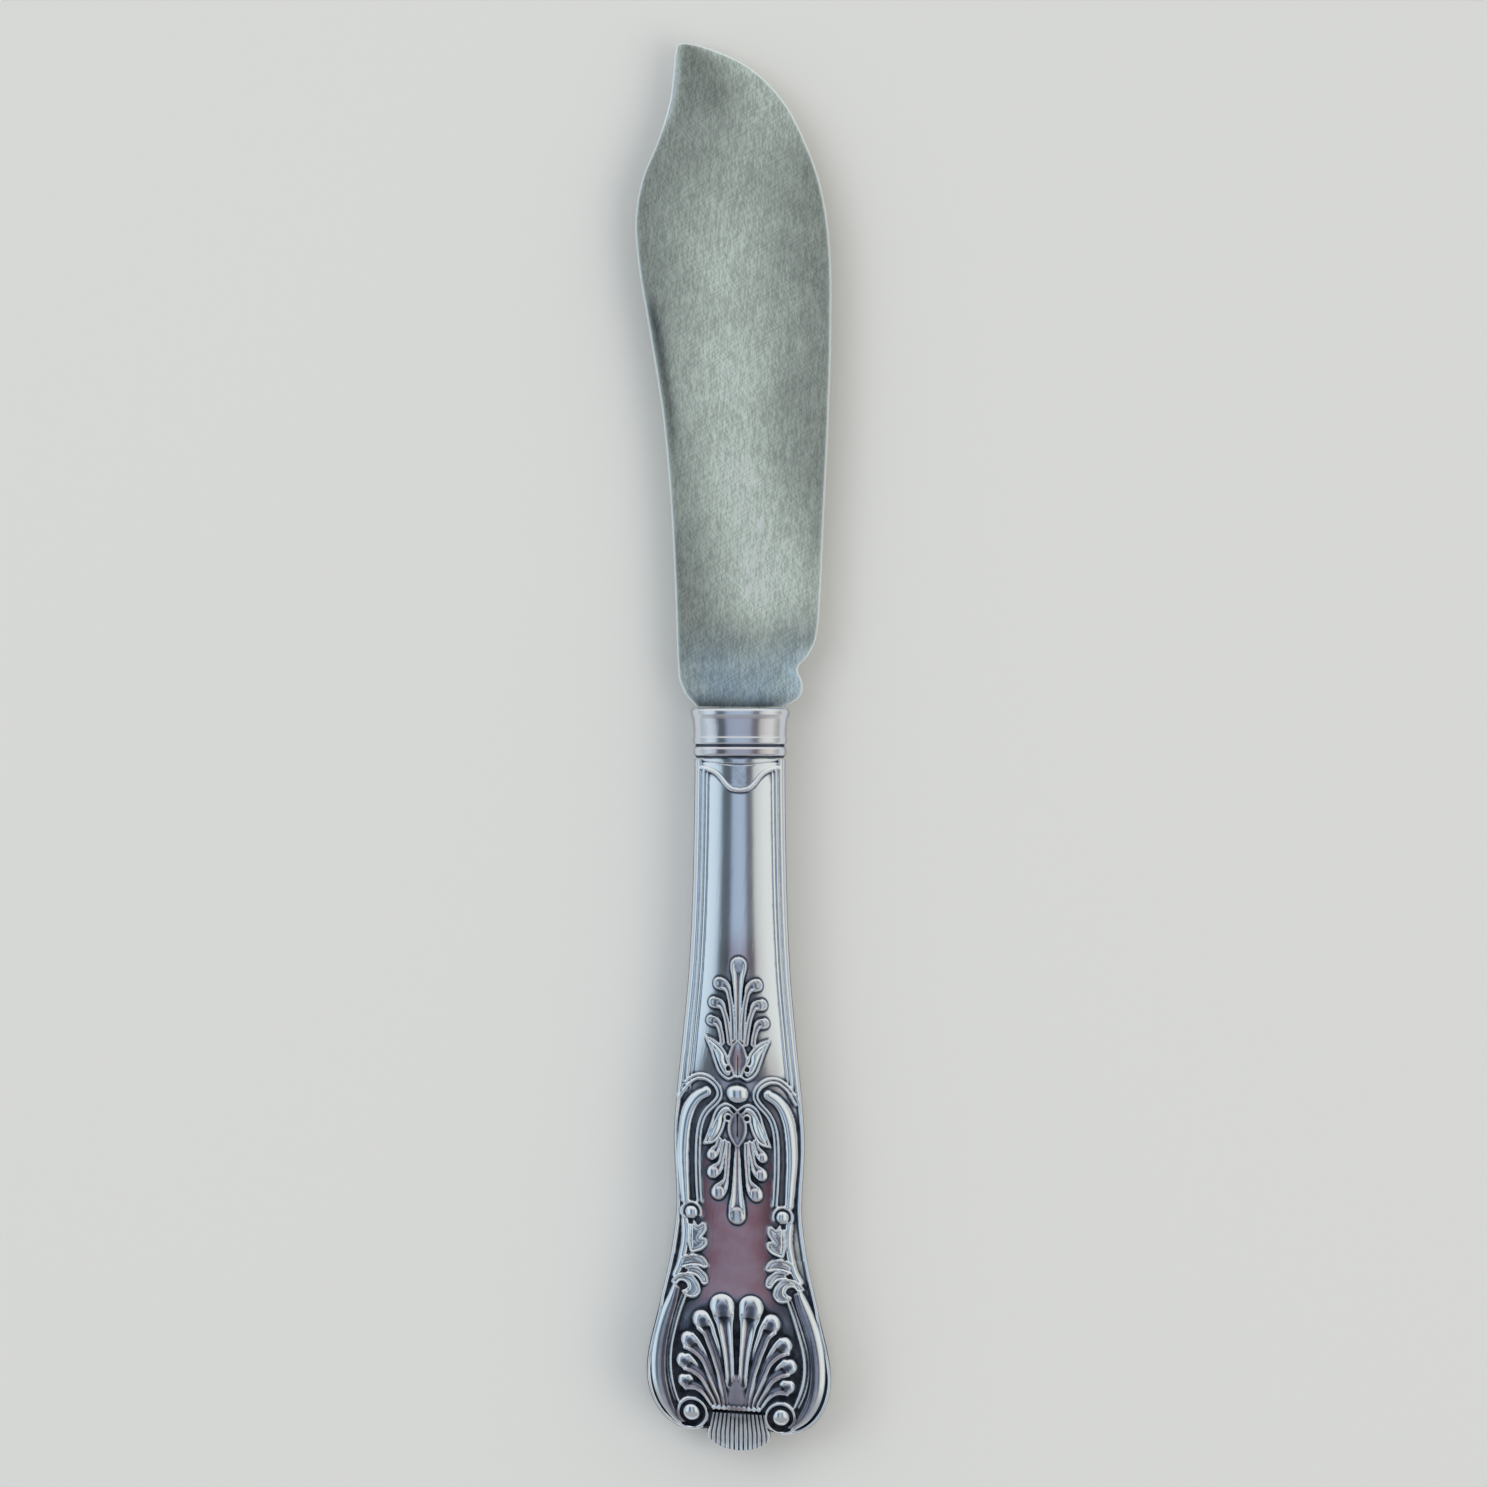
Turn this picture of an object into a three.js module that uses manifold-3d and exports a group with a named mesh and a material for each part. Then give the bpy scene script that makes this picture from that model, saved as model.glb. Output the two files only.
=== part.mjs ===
// Butter knife with a die-struck hollow handle, in millimetres.
// Working datum: x = 0 on the handle's axis, y = 0 at the mouth of the collar, z = 0 on the seam
// between the two halves of the handle. +Y runs to the blade's tip, +X to the cutting edge and
// +Z out of the front. The finished group is shifted so that its origin is the middle of the
// footprint, on the surface that the knife lies on.
import * as THREE from "three";
import { mergeVertices } from "three/addons/utils/BufferGeometryUtils.js";
import Module from "manifold-3d";

// Blade
const BLADE_LENGTH = 82.8; // collar mouth to tip
const BLADE_THICKNESS = 1.4;
const BLADE_RIM = 0.35; // rounding of the blade's rim
const BLADE_ROOT_HALF_WIDTH = 5.55; // where the blade meets the collar
const SPINE_HEEL = 7.75; // reach of the spine just above its heel
const SPINE_BELLY = 13.2; // reach of the spine at its widest
const EDGE_HEEL = 9.85; // reach of the cutting edge above the notch
const EDGE_BELLY = 11.3; // reach of the cutting edge at its widest
const TIP_REACH = 8.15; // how far the tip lies to the spine's side
const NOTCH_REACH = 7.2; // bottom of the notch in the edge's heel
const NOTCH_HEIGHT = 4.8; // from the collar to the notch
const BLADE_SEAT_GAP = 0.2; // soldered gap between the blade's shoulders and the collar

// Tang
const TANG_LENGTH = 48;
const TANG_ROOT = 1.5; // how far the tang is rooted in the blade
const TANG_ROOT_WIDTH = 5;
const TANG_END_WIDTH = 2.6;
const TANG_THICKNESS = 1.2;
const TANG_CLEARANCE = 0.2; // around the tang in the collar's slot and in the filling

// Collar
const COLLAR_LENGTH = 6.2;
const COLLAR_LIP_HALF_WIDTH = 6.2;
const COLLAR_FOOT_HALF_WIDTH = 5.6;
const COLLAR_LIP_HALF_THICKNESS = 4.3;
const COLLAR_FOOT_HALF_THICKNESS = 3.85;
const COLLAR_LIP_LENGTH = 1.1; // the rolled lip at the mouth
const COLLAR_GROOVE = 0.3; // depth of the two turned grooves
const COLLAR_BEAD_LENGTH = 1.1; // the bead between the grooves
const COLLAR_BEAD_RISE = 0.12;
const COLLAR_BAND_DIP = 0.1; // hollow of the plain band
const COLLAR_STEP_LENGTH = 0.9; // low step between the band and the first groove
const COLLAR_STEP_RISE = 0.05;
const COLLAR_WALL = 0.9;
const COLLAR_MOUTH_WALL = 0.9; // the closed, slotted end
const OVAL_POWER = 2.5; // squareness of the oval sections

// Handle
const HANDLE_LENGTH = 92.1; // collar mouth to the end of the butt
const SHELL_WALL = 0.75;
const SEAM = 0.2; // thickness of the solder between the halves
const COLLAR_JOINT_GAP = 0.15; // soldered gap between the collar and the shells
const SPIGOT_LENGTH = 3.8; // neck of the shells inside the collar
const SPIGOT_CLEARANCE = 0.15;
const SHOULDER_WALL = 0.8; // web between the shells and their neck
const NECK_EDGE_WALL = 1.85; // half height of the handle's side at the neck, from the seam to the rim
const BUTT_EDGE_WALL = 3.1; // the same below the upper scrolls, where the handle is flatter
const EDGE_WALL_FROM = 30; // the side's height changes between these places, from the end of the butt
const EDGE_WALL_TO = 60;
const FILLING_GAP = 0.3; // shrinkage of the filling away from the shells
const CAVITY_START = 7; // solid metal in the butt, measured from its end
const PAST_SEAM = 0.5; // how far a half runs on past the seam before it is cut off there
const SLIVER = 0.004; // facets of the struck shell thinner than this are merged with their neighbours

// Outline of the handle
const NECK_HALF_WIDTH = 5.6;
const SHOULDER_HALF_WIDTH = 8.1; // at the upper scrolls
const WAIST_HALF_WIDTH = 7.75; // between the upper and the lower scrolls
const BUTT_HALF_WIDTH = 11.4;
const BUTT_WIDEST = 9.6; // from the end of the butt to its widest place
const BUTT_FOOT = 2.35; // from the end of the butt to the underside of the volutes
const VOLUTE_UNDERSIDE = 5.9; // from the axis to the lowest place under a volute
const TAIL_HALF_WIDTH = 3.95;
const TAIL_ROUND = 2.1; // depth of the rounded end of the tail
const TAIL_TAPER = 0.6; // narrowing of the tail up to its root, on each side
const BODY_ROOT = 2.25; // from the end of the butt to where the body starts, hidden in the tail
const BODY_ROOT_INSET = 0.65; // from the tail's side
const BODY_ROOT_SINK = 0.45; // below the tail's surface
const NECK_HALF_THICKNESS = 3.7;
const BUTT_HALF_THICKNESS = 4.05;
const TAIL_HALF_THICKNESS = 1.6;
const STRIKE_SKEW = 0.06; // the dies are a little out of square: the right side sits lower
const STRIKE_SKEW_RAMP = 30; // length over which the skew grows, below the plain neck

// Relief
const RELIEF_SINK = 0.45; // how deep a raised member is rooted in the wall
const RIM_INSET = 0.42; // centre line of the border's rim
const RIM_HALF_WIDTH = 0.36;
const THREAD_INSET = 1.15; // centre line of the border's inner thread
const THREAD_HALF_WIDTH = 0.24;
const BORDER_HEIGHT = 0.22;
const LOBE_HEIGHT = 0.45;
const SHELL_LOBE_HEIGHT = 0.55;
const ROLL_HEIGHT = 0.4;
const PEARL_HEIGHT = 0.6;
const PEARL_HALF_WIDTH = 1.4;
const PEARL_HALF_LENGTH = 1.2;
const PEARL_FROM_BUTT = 44.4; // the pearl between the two anthemions
const UPPER_ROLL_HALF_WIDTH = 0.65;
const LOWER_ROLL_HALF_WIDTH = 0.8;
const UPPER_SCROLL_FOOT = 30.6; // lower end of the upper scrolls, from the end of the butt
const UPPER_SCROLL_RISE = 1.6; // top of the upper scrolls above the pearl
const SIDE_BEAD_X = 5.7; // round bead at the foot of an upper scroll
const SIDE_BEAD_RADIUS = 1.15;
const SIDE_BEAD_DROP = 0.9;
const FAN_STEM_HALF_WIDTH = 0.22;
const FAN_STEM_STEP = 0.42; // between the feet of an anthemion's stems
const FAN_LEAF_RADIUS = 0.85; // curled end of an anthemion's leaf
const BUD_HALF_WIDTH = 0.8; // the bud between an anthemion and the pearl
const LEAF_STEM_HALF_WIDTH = 0.4;
const VOLUTE_RADIUS = 1.85; // centre line of the volute's ring
const VOLUTE_RING_HALF_WIDTH = 0.3;
const VOLUTE_FROM = -0.35; // half turns at which the ring starts and ends
const VOLUTE_TO = 1.4;
const VOLUTE_EYE = 1.05;
const VOLUTE_X = 5.6;
const VOLUTE_FROM_BUTT = 4.55;
const FLUTES = 14; // on the tail
const FLUTE_HEIGHT = 0.25;
const SHELL_FOOT = 5.4; // from the end of the butt to the foot of the scallop shell
const SHELL_BAR_HALF_WIDTH = 0.34; // cross bar along the foot of the scallop shell
const SHELL_BAR_SHORT = 1.1; // how much shorter than the tail's width the bar is, on each side
const SHELL_STEM_HALF_WIDTH = 0.3;
const SHELL_STEM_FIRST = 0.45; // from the axis to the foot of the first stem
const SHELL_STEM_STEP = 0.55; // between the feet of the stems
const SHELL_STEM_RISE = 0.5; // from the cross bar to the stems' feet
const TAIL_BELOW_SHELL = 0.75; // from the scallop shell's foot to the root of the tail
const TAB_DEPTH = 3.2; // the shield-shaped tab below the collar
const TAB_HALF_WIDTH = 4.5;
const TAB_DROP = 1.1; // from the shells' shoulder to the tab's upper corners

// The raised members, on the right-hand side, as [from the axis, from the butt's end, radius of the head]
const UPPER_LOBES = [[2.15, 57.95, 0.85], [2.95, 55.55, 0.75], [3.25, 53.3, 0.65]];
const UPPER_DROP = [60.15, 1.05]; // middle drop of the upper anthemion: from the butt's end, radius
const UPPER_ROOT = 51; // foot of the upper anthemion's stems
const LOWER_LOBES = [[2.25, 32, 0.85], [2.95, 34.5, 0.8], [3.15, 36.65, 0.7]];
const LOWER_DROP = [29.3, 1.1];
const LOWER_ROOT = 37.9;
const SHELL_LOBES = [
  [1.75, 18.2, 1.42],
  [4.65, 16.5, 1.1],
  [6.3, 13.9, 0.92],
  [6.9, 10.8, 0.8],
  [6.5, 8.15, 0.72],
];
const LEAF_LOBES = [
  [4.7, 27.6, 0.8],
  [4.75, 26, 0.7],
  [4.5, 23.3, 0.75],
  [4.5, 21.5, 0.7],
  [5.9, 20.3, 0.95],
];

// Leaf at the root of an anthemion, as [from the axis, from the root towards the pearl]
const FAN_LEAF = [[3.9, -0.2], [2.7, 2.2]];
const FAN_LEAF_END = [1.25, 1.1]; // from the axis, short of the bud's end

// Stem of a side leaf, as [outwards, up] from the middle of its head
const LEAF_STEM = [[1.7, 0.5], [0.8, 0.4], [0, 0]];

// Upper scroll, as [from the axis, below the top of the scroll]
const HAIRPIN = [[5.7, 0.5], [4.4, 0], [3.1, 0.7], [2.6, 2], [3.6, 4], [4.8, 7.1], [5.1, 11]];
const HAIRPIN_START = [0.9, 2.5]; // inset from the edge, below the top
const HAIRPIN_END = 4.85; // from the axis, at the scroll's foot
const UPPER_ROLL_HEAD = [[3.9, 1.55], [5.35, 2.3]];
const UPPER_ROLL_INSETS = [[1.35, 5], [1.2, 9]]; // inset from the edge, below the top
const UPPER_ROLL_END_INSET = 1.4;

// Lower scroll, as [inset from the edge, from the end of the butt] below a first point off the axis
const LOWER_ROLL_START = [7.3, 20.4];
const LOWER_ROLL_INSETS = [[1.6, 18.5], [1.5, 14], [1.6, BUTT_WIDEST], [1.6, 6.2]];
const LOWER_THREAD_START = [6.9, 19];
const LOWER_THREAD_INSETS = [[2.65, 15.5], [2.8, 11.5], [3, 8.4]];

const wasm = await Module();
wasm.setup();

// Solids

function toSolid(geometry) {
  const bare = geometry.clone();
  bare.deleteAttribute("normal");
  bare.deleteAttribute("uv");
  const merged = mergeVertices(bare, 1e-4);
  return new wasm.Manifold(
    new wasm.Mesh({
      numProp: 3,
      vertProperties: new Float32Array(merged.attributes.position.array),
      triVerts: new Uint32Array(merged.index.array),
    }),
  );
}

function toGeometry(solid) {
  const mesh = solid.getMesh();
  const geometry = new THREE.BufferGeometry();
  geometry.setAttribute("position", new THREE.BufferAttribute(new Float32Array(mesh.vertProperties), 3));
  geometry.setIndex(new THREE.BufferAttribute(new Uint32Array(mesh.triVerts), 1));
  return geometry;
}

// A closed solid through a row of polygons with equal point counts, capped at both ends.
function loft(sections) {
  const count = sections[0].length;
  const positions = sections.flat(2);
  const index = [];
  for (let row = 0; row + 1 < sections.length; row++) {
    for (let i = 0; i < count; i++) {
      const next = (i + 1) % count;
      const a = row * count + i;
      const b = row * count + next;
      index.push(a, b, b + count, a, b + count, a + count);
    }
  }
  const last = (sections.length - 1) * count;
  for (let i = 1; i + 1 < count; i++) {
    index.push(0, i + 1, i, last, last + i, last + i + 1);
  }
  const geometry = new THREE.BufferGeometry();
  geometry.setAttribute("position", new THREE.BufferAttribute(new Float32Array(positions), 3));
  geometry.setIndex(index);
  return toSolid(geometry);
}

// Smooth value through [place, value] knots, with no overshoot between them.
function smoothThrough(knots) {
  const slope = knots.map((knot, i) => {
    if (i === 0 || i === knots.length - 1) return 0;
    const before = (knot[1] - knots[i - 1][1]) / (knot[0] - knots[i - 1][0]);
    const after = (knots[i + 1][1] - knot[1]) / (knots[i + 1][0] - knot[0]);
    return before * after > 0 ? (2 * before * after) / (before + after) : 0;
  });
  return (place) => {
    if (place <= knots[0][0]) return knots[0][1];
    const i = knots.findIndex((knot) => place <= knot[0]);
    if (i < 0) return knots[knots.length - 1][1];
    const span = knots[i][0] - knots[i - 1][0];
    const t = (place - knots[i - 1][0]) / span;
    const rise = t * t * (3 - 2 * t);
    const bend = span * (slope[i - 1] * t * (1 - t) * (1 - t) - slope[i] * t * t * (1 - t));
    return knots[i - 1][1] * (1 - rise) + knots[i][1] * rise + bend;
  };
}

// Handle form. Places along the handle are measured from the end of the butt.

const NECK_END = HANDLE_LENGTH - COLLAR_LENGTH - COLLAR_JOINT_GAP;

const sideHalfWidth = smoothThrough([
  [BUTT_WIDEST, BUTT_HALF_WIDTH],
  [18.1, (BUTT_HALF_WIDTH + WAIST_HALF_WIDTH) / 2 + 0.2],
  [24.5, WAIST_HALF_WIDTH + 0.65],
  [30.6, WAIST_HALF_WIDTH],
  [38.5, SHOULDER_HALF_WIDTH],
  [44, SHOULDER_HALF_WIDTH - 0.35],
  [51, NECK_HALF_WIDTH + 1.45],
  [61, NECK_HALF_WIDTH + 0.6],
  [NECK_END - 14.5, NECK_HALF_WIDTH + 0.2],
  [NECK_END, NECK_HALF_WIDTH],
]);

// Half width of the handle: a rounded tail, the round of the butt as a quarter ellipse, then the sides.
function halfWidth(fromButt) {
  if (fromButt < BUTT_FOOT) {
    const up = Math.max(0, 1 - fromButt / TAIL_ROUND);
    return TAIL_HALF_WIDTH * Math.sqrt(1 - up * up);
  }
  if (fromButt < BUTT_WIDEST) {
    const down = (BUTT_WIDEST - fromButt) / (BUTT_WIDEST - BUTT_FOOT);
    return VOLUTE_UNDERSIDE + (BUTT_HALF_WIDTH - VOLUTE_UNDERSIDE) * Math.sqrt(1 - down * down);
  }
  return sideHalfWidth(fromButt);
}

const halfThickness = smoothThrough([
  [0, TAIL_HALF_THICKNESS],
  [BUTT_FOOT, TAIL_HALF_THICKNESS + 0.55],
  [BUTT_WIDEST / 2, BUTT_HALF_THICKNESS - 0.9],
  [BUTT_WIDEST, BUTT_HALF_THICKNESS - 0.1],
  [BUTT_WIDEST + 6, BUTT_HALF_THICKNESS],
  [40, (BUTT_HALF_THICKNESS + NECK_HALF_THICKNESS) / 2],
  [NECK_END - 20, NECK_HALF_THICKNESS],
]);

const edgeWall = smoothThrough([
  [EDGE_WALL_FROM, BUTT_EDGE_WALL],
  [EDGE_WALL_TO, NECK_EDGE_WALL],
]);

// Height of the smooth ground of a shell over the seam: an upright side, then a crown across the width.
function ground(x, fromButt) {
  const across = Math.min(1, Math.abs(x) / halfWidth(fromButt));
  const side = Math.min(edgeWall(fromButt), 0.8 * halfThickness(fromButt));
  return side + (halfThickness(fromButt) - side) * (1 - across * across);
}

// Point of the working frame for a place on the handle. The skew of the strike grows below the neck.
function place(x, fromButt, z) {
  const below = Math.max(0, NECK_END - TAB_DEPTH - TAB_DROP - fromButt);
  const skew = STRIKE_SKEW * Math.min(1, below / STRIKE_SKEW_RAMP);
  return [x, fromButt - HANDLE_LENGTH - skew * x, z];
}

const ACROSS = [-1, -0.82, -0.45, 0, 0.45, 0.82, 1];
const PANEL = [-0.62, -0.24, 0.24, 0.62];

const BUTT_ROWS = [0.03, 0.5, 1.3, 0.99 * BUTT_FOOT];
const ROUND_ROWS = [0.01, 0.08, 0.2, 0.38, 0.65].map((t) => BUTT_FOOT + t * (BUTT_WIDEST - BUTT_FOOT));
const SIDE_STEPS = 14;
const SIDE_ROWS = Array.from(
  { length: SIDE_STEPS + 1 },
  (_, i) => BUTT_WIDEST + ((NECK_END - BUTT_WIDEST) * i) / SIDE_STEPS,
);

// Border of the front as [inset from the edge, rise over the ground]: a rounded rim all round, a groove,
// and a fine thread that dies away into the upper scrolls.
function borderProfile(fromButt) {
  const thread = BORDER_HEIGHT * Math.min(1, Math.max(0, (fromButt - PEARL_FROM_BUTT) / 4));
  return [
    [0, -BORDER_HEIGHT],
    [RIM_INSET - 0.6 * RIM_HALF_WIDTH, BORDER_HEIGHT],
    [RIM_INSET + 0.6 * RIM_HALF_WIDTH, BORDER_HEIGHT],
    [THREAD_INSET - 1.4 * THREAD_HALF_WIDTH, 0],
    [THREAD_INSET, thread],
    [THREAD_INSET + 1.2 * THREAD_HALF_WIDTH, 0],
  ];
}

// D-shaped section of the front half of the handle with its border, carried a little past the seam.
function frontSection(fromButt, reach = halfWidth(fromButt), sink = 0) {
  const squeeze = Math.min(1, reach / (2 * THREAD_INSET));
  const edge = borderProfile(fromButt).map(([inset, rise]) => [reach - inset * squeeze, rise * squeeze]);
  const panel = edge[edge.length - 1][0];
  const at = (x, rise) => place(x, fromButt, ground(x, fromButt) + rise - sink);
  return [
    place(-reach, fromButt, -PAST_SEAM),
    ...edge.map(([x, rise]) => at(-x, rise)),
    ...PANEL.map((share) => at(share * panel, 0)),
    ...edge.map(([x, rise]) => at(x, rise)).reverse(),
    place(reach, fromButt, -PAST_SEAM),
  ];
}

// Plain section offset inwards from the ground, standing on a level floor.
function halfSection(fromButt, inset, floor) {
  const reach = halfWidth(fromButt) - inset;
  const top = ACROSS.map((u) => place(u * reach, fromButt, ground(u * reach, fromButt) - inset));
  return [place(-reach, fromButt, floor), ...top, place(reach, fromButt, floor)];
}

// The same section carried through the seam to the lower half.
function wholeSection(fromButt, inset) {
  const reach = halfWidth(fromButt) - inset;
  const top = ACROSS.map((u) => place(u * reach, fromButt, ground(u * reach, fromButt) - inset));
  const bottom = top.map(([x, y, z]) => [x, y, -z]).reverse();
  return [...top, ...bottom];
}

// Upper half of an oval section, with its ends on a level floor.
const OVAL_STEPS = 12;
function halfOval(halfWide, halfThick, y, floor) {
  const points = [];
  for (let i = 0; i <= OVAL_STEPS; i++) {
    const angle = Math.PI - (Math.PI * i) / OVAL_STEPS;
    const [x, z] = ovalPoint(halfWide, halfThick, angle);
    points.push([x, y, Math.max(floor, z)]);
  }
  points[0][2] = floor;
  points[OVAL_STEPS][2] = floor;
  return points;
}

function ovalPoint(halfWide, halfThick, angle) {
  const squared = (value) => Math.sign(value) * Math.abs(value) ** (2 / OVAL_POWER);
  return [halfWide * squared(Math.cos(angle)), halfThick * squared(Math.sin(angle))];
}

// Whole oval section, with a flat in the middle of its front and of its back.
function oval(halfWide, halfThick, y) {
  return Array.from({ length: 2 * OVAL_STEPS }, (_, i) => {
    const [x, z] = ovalPoint(halfWide, halfThick, Math.PI - (Math.PI * (i + 0.5)) / OVAL_STEPS);
    return [x, y, z];
  });
}

// Raised members of the dies

// Points at equal or chosen shares along a smooth path of [from the axis, from the butt's end] points.
function pathThrough(points) {
  const curve = new THREE.CatmullRomCurve3(
    points.map(([x, b]) => new THREE.Vector3(x, b, 0)),
    false,
    "centripetal",
  );
  return {
    length: curve.getLength(),
    at: (share) => curve.getPointAt(Math.min(1, share)),
    heading: (share) => curve.getTangentAt(Math.min(1, share)),
  };
}

// Shapes across a member, as [share of its half width, share of its height].
const LOW_ARCH = [[-1, 0], [-0.45, 1], [0.45, 1], [1, 0]];
const SHARP_ARCH = [[-1, 0], [0, 1], [1, 0]];

// One section across a member: it stands on the ground, and its feet are rooted in the wall.
function archAt(x, fromButt, sideways, halfWide, height, arch) {
  return arch.map(([share, rise]) => {
    const px = x + share * halfWide * sideways.x;
    const pb = fromButt + share * halfWide * sideways.y;
    return place(px, pb, ground(px, pb) + (rise > 0 ? rise * height : -RELIEF_SINK));
  });
}

// A member along a path, from stations of [distance along it, half width, height].
function member(points, stations, arch) {
  const path = pathThrough(points);
  const sections = stations.map(([distance, halfWide, height]) => {
    const heading = path.heading(distance / path.length);
    const over = Math.max(0, distance - path.length);
    const at = path.at(distance / path.length).addScaledVector(heading, over);
    const sideways = new THREE.Vector3(heading.y, -heading.x, 0);
    return archAt(at.x, at.y, sideways, halfWide, height, arch);
  });
  return loft(sections);
}

// A ridge of even width with drawn-out ends.
function ridge(points, halfWide, height, steps, arch = SHARP_ARCH) {
  const { length } = pathThrough(points);
  const stations = Array.from({ length: steps + 1 }, (_, i) => {
    const end = i === 0 || i === steps;
    return [(length * i) / steps, end ? 0.6 * halfWide : halfWide, end ? 0.4 * height : height];
  });
  return member(points, stations, arch);
}

// A drop: a thin stem from the first point that swells into a round head about the last.
function drop(points, stemHalfWide, headRadius, height, arch = LOW_ARCH) {
  const { length } = pathThrough(points);
  const neck = length - 1.5 * headRadius;
  const neckHalfWide = Math.max(stemHalfWide, 0.58 * headRadius);
  const foot = [0, stemHalfWide, height * 0.6];
  const bend = [neck * 0.55, (stemHalfWide + neckHalfWide) / 2, height * 0.65];
  const swell = [neck, neckHalfWide, height * 0.75];
  const head = [
    [length - 0.5 * headRadius, headRadius * 0.86, height * 0.9],
    [length + 0.3 * headRadius, headRadius * 0.98, height],
    [length + 0.92 * headRadius, headRadius * 0.4, height * 0.6],
  ];
  if (neck > 6) return member(points, [foot, bend, swell, ...head], arch);
  if (neck > headRadius) return member(points, [foot, swell, ...head], arch);
  return member(points, [foot, ...head], arch);
}

// A low dome on the ground.
function pearl(x, fromButt, halfWide, halfLong, height, sides) {
  const ball = new THREE.SphereGeometry(1, sides, Math.ceil(sides / 2));
  ball.rotateX(Math.PI / 2);
  ball.scale(halfWide, halfLong, height);
  const [px, py, pz] = place(x, fromButt, ground(x, fromButt));
  ball.translate(px, py, pz);
  return toSolid(ball);
}

// Both sides of a member that comes in pairs.
function pair(make) {
  return [make(1), make(-1)];
}

function onSide(points, side) {
  return points.map(([x, b]) => [side * x, b]);
}

// Shield-shaped tab below the collar: an ogee rim from corner to corner.
function tab() {
  const top = NECK_END - TAB_DROP;
  const ogee = (side) => [
    [side * TAB_HALF_WIDTH, top],
    [side * 0.68 * TAB_HALF_WIDTH, top - 0.2 * TAB_DEPTH],
    [side * 0.42 * TAB_HALF_WIDTH, top - 0.6 * TAB_DEPTH],
    [side * 0.2 * TAB_HALF_WIDTH, top - 0.94 * TAB_DEPTH],
  ];
  const line = [...ogee(-1), [0, top - TAB_DEPTH], ...ogee(1).reverse()];
  return [ridge(line, THREAD_HALF_WIDTH, BORDER_HEIGHT, 10)];
}

// A fan of drops round a middle drop, with two leaves and a bud at its root.
function anthemion(lobes, middle, root, pearlSide) {
  const toPearl = Math.sign(PEARL_FROM_BUTT - root);
  const stems = lobes.flatMap(([x, b, radius], i) => {
    const foot = FAN_STEM_STEP * (i + 1);
    const bend = [foot + 0.3 * (x - foot), root + 0.55 * (b - root)];
    const stem = [[foot, root], bend, [x, b]];
    return pair((side) => drop(onSide(stem, side), FAN_STEM_HALF_WIDTH, radius, LOBE_HEIGHT));
  });
  const leaf = [
    ...FAN_LEAF.map(([x, towards]) => [x, root + towards * toPearl]),
    [FAN_LEAF_END[0], pearlSide - FAN_LEAF_END[1] * toPearl],
  ];
  const leaves = pair((side) => drop(onSide(leaf, side), FAN_STEM_HALF_WIDTH, FAN_LEAF_RADIUS, LOBE_HEIGHT));
  const budHalfLength = Math.abs(pearlSide - root) / 2;
  const bud = pearl(0, (root + pearlSide) / 2, BUD_HALF_WIDTH, budHalfLength, LOBE_HEIGHT, 6);
  const centre = drop([[0, root], [0, middle[0]]], FAN_STEM_HALF_WIDTH, middle[1], LOBE_HEIGHT);
  return [...stems, ...leaves, bud, centre];
}

// Point of a path at an inset from the handle's edge.
function insetPoint([inset, b]) {
  return [halfWidth(b) - inset, b];
}

// Upper scrolls: a hairpin ridge round a fat roll, ending at a small round bead on each side.
function upperScrolls() {
  const top = PEARL_FROM_BUTT + UPPER_SCROLL_RISE;
  const foot = UPPER_SCROLL_FOOT;
  const down = ([x, below]) => [x, top - below];
  const along = ([inset, below]) => insetPoint([inset, top - below]);
  const hairpin = [along(HAIRPIN_START), ...HAIRPIN.map(down), [HAIRPIN_END, foot]];
  const roll = [
    ...UPPER_ROLL_HEAD.map(down),
    ...UPPER_ROLL_INSETS.map(along),
    insetPoint([UPPER_ROLL_END_INSET, foot]),
  ];
  return pair((side) => [
    ridge(onSide(hairpin, side), THREAD_HALF_WIDTH, BORDER_HEIGHT, 10),
    ridge(onSide(roll, side), UPPER_ROLL_HALF_WIDTH, ROLL_HEIGHT, 5, LOW_ARCH),
    pearl(side * SIDE_BEAD_X, foot - SIDE_BEAD_DROP, SIDE_BEAD_RADIUS, SIDE_BEAD_RADIUS, PEARL_HEIGHT, 8),
  ]).flat();
}

// Leaves between the scrolls, drawn in towards the axis from the side.
function sideLeaves() {
  return LEAF_LOBES.flatMap(([x, b, radius]) => {
    const stem = LEAF_STEM.map(([out, up]) => [x + out, b + up]);
    return pair((side) => drop(onSide(stem, side), LEAF_STEM_HALF_WIDTH, radius, LOBE_HEIGHT));
  });
}

// Lower scrolls: a fat roll and an inner ridge round the butt, into a volute with a round eye.
function lowerScrolls() {
  const roll = [LOWER_ROLL_START, ...LOWER_ROLL_INSETS.map(insetPoint)];
  const thread = [LOWER_THREAD_START, ...LOWER_THREAD_INSETS.map(insetPoint)];
  const ring = Array.from({ length: 11 }, (_, i) => {
    const angle = Math.PI * (VOLUTE_FROM + ((VOLUTE_TO - VOLUTE_FROM) * i) / 10);
    return [VOLUTE_X + VOLUTE_RADIUS * Math.cos(angle), VOLUTE_FROM_BUTT + VOLUTE_RADIUS * Math.sin(angle)];
  });
  return pair((side) => [
    ridge(onSide(roll, side), LOWER_ROLL_HALF_WIDTH, ROLL_HEIGHT, 6, LOW_ARCH),
    ridge(onSide(thread, side), THREAD_HALF_WIDTH, BORDER_HEIGHT, 4),
    ridge(onSide(ring, side), VOLUTE_RING_HALF_WIDTH, ROLL_HEIGHT, 9),
    pearl(side * VOLUTE_X, VOLUTE_FROM_BUTT, VOLUTE_EYE, VOLUTE_EYE, PEARL_HEIGHT, 8),
  ]).flat();
}

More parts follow.
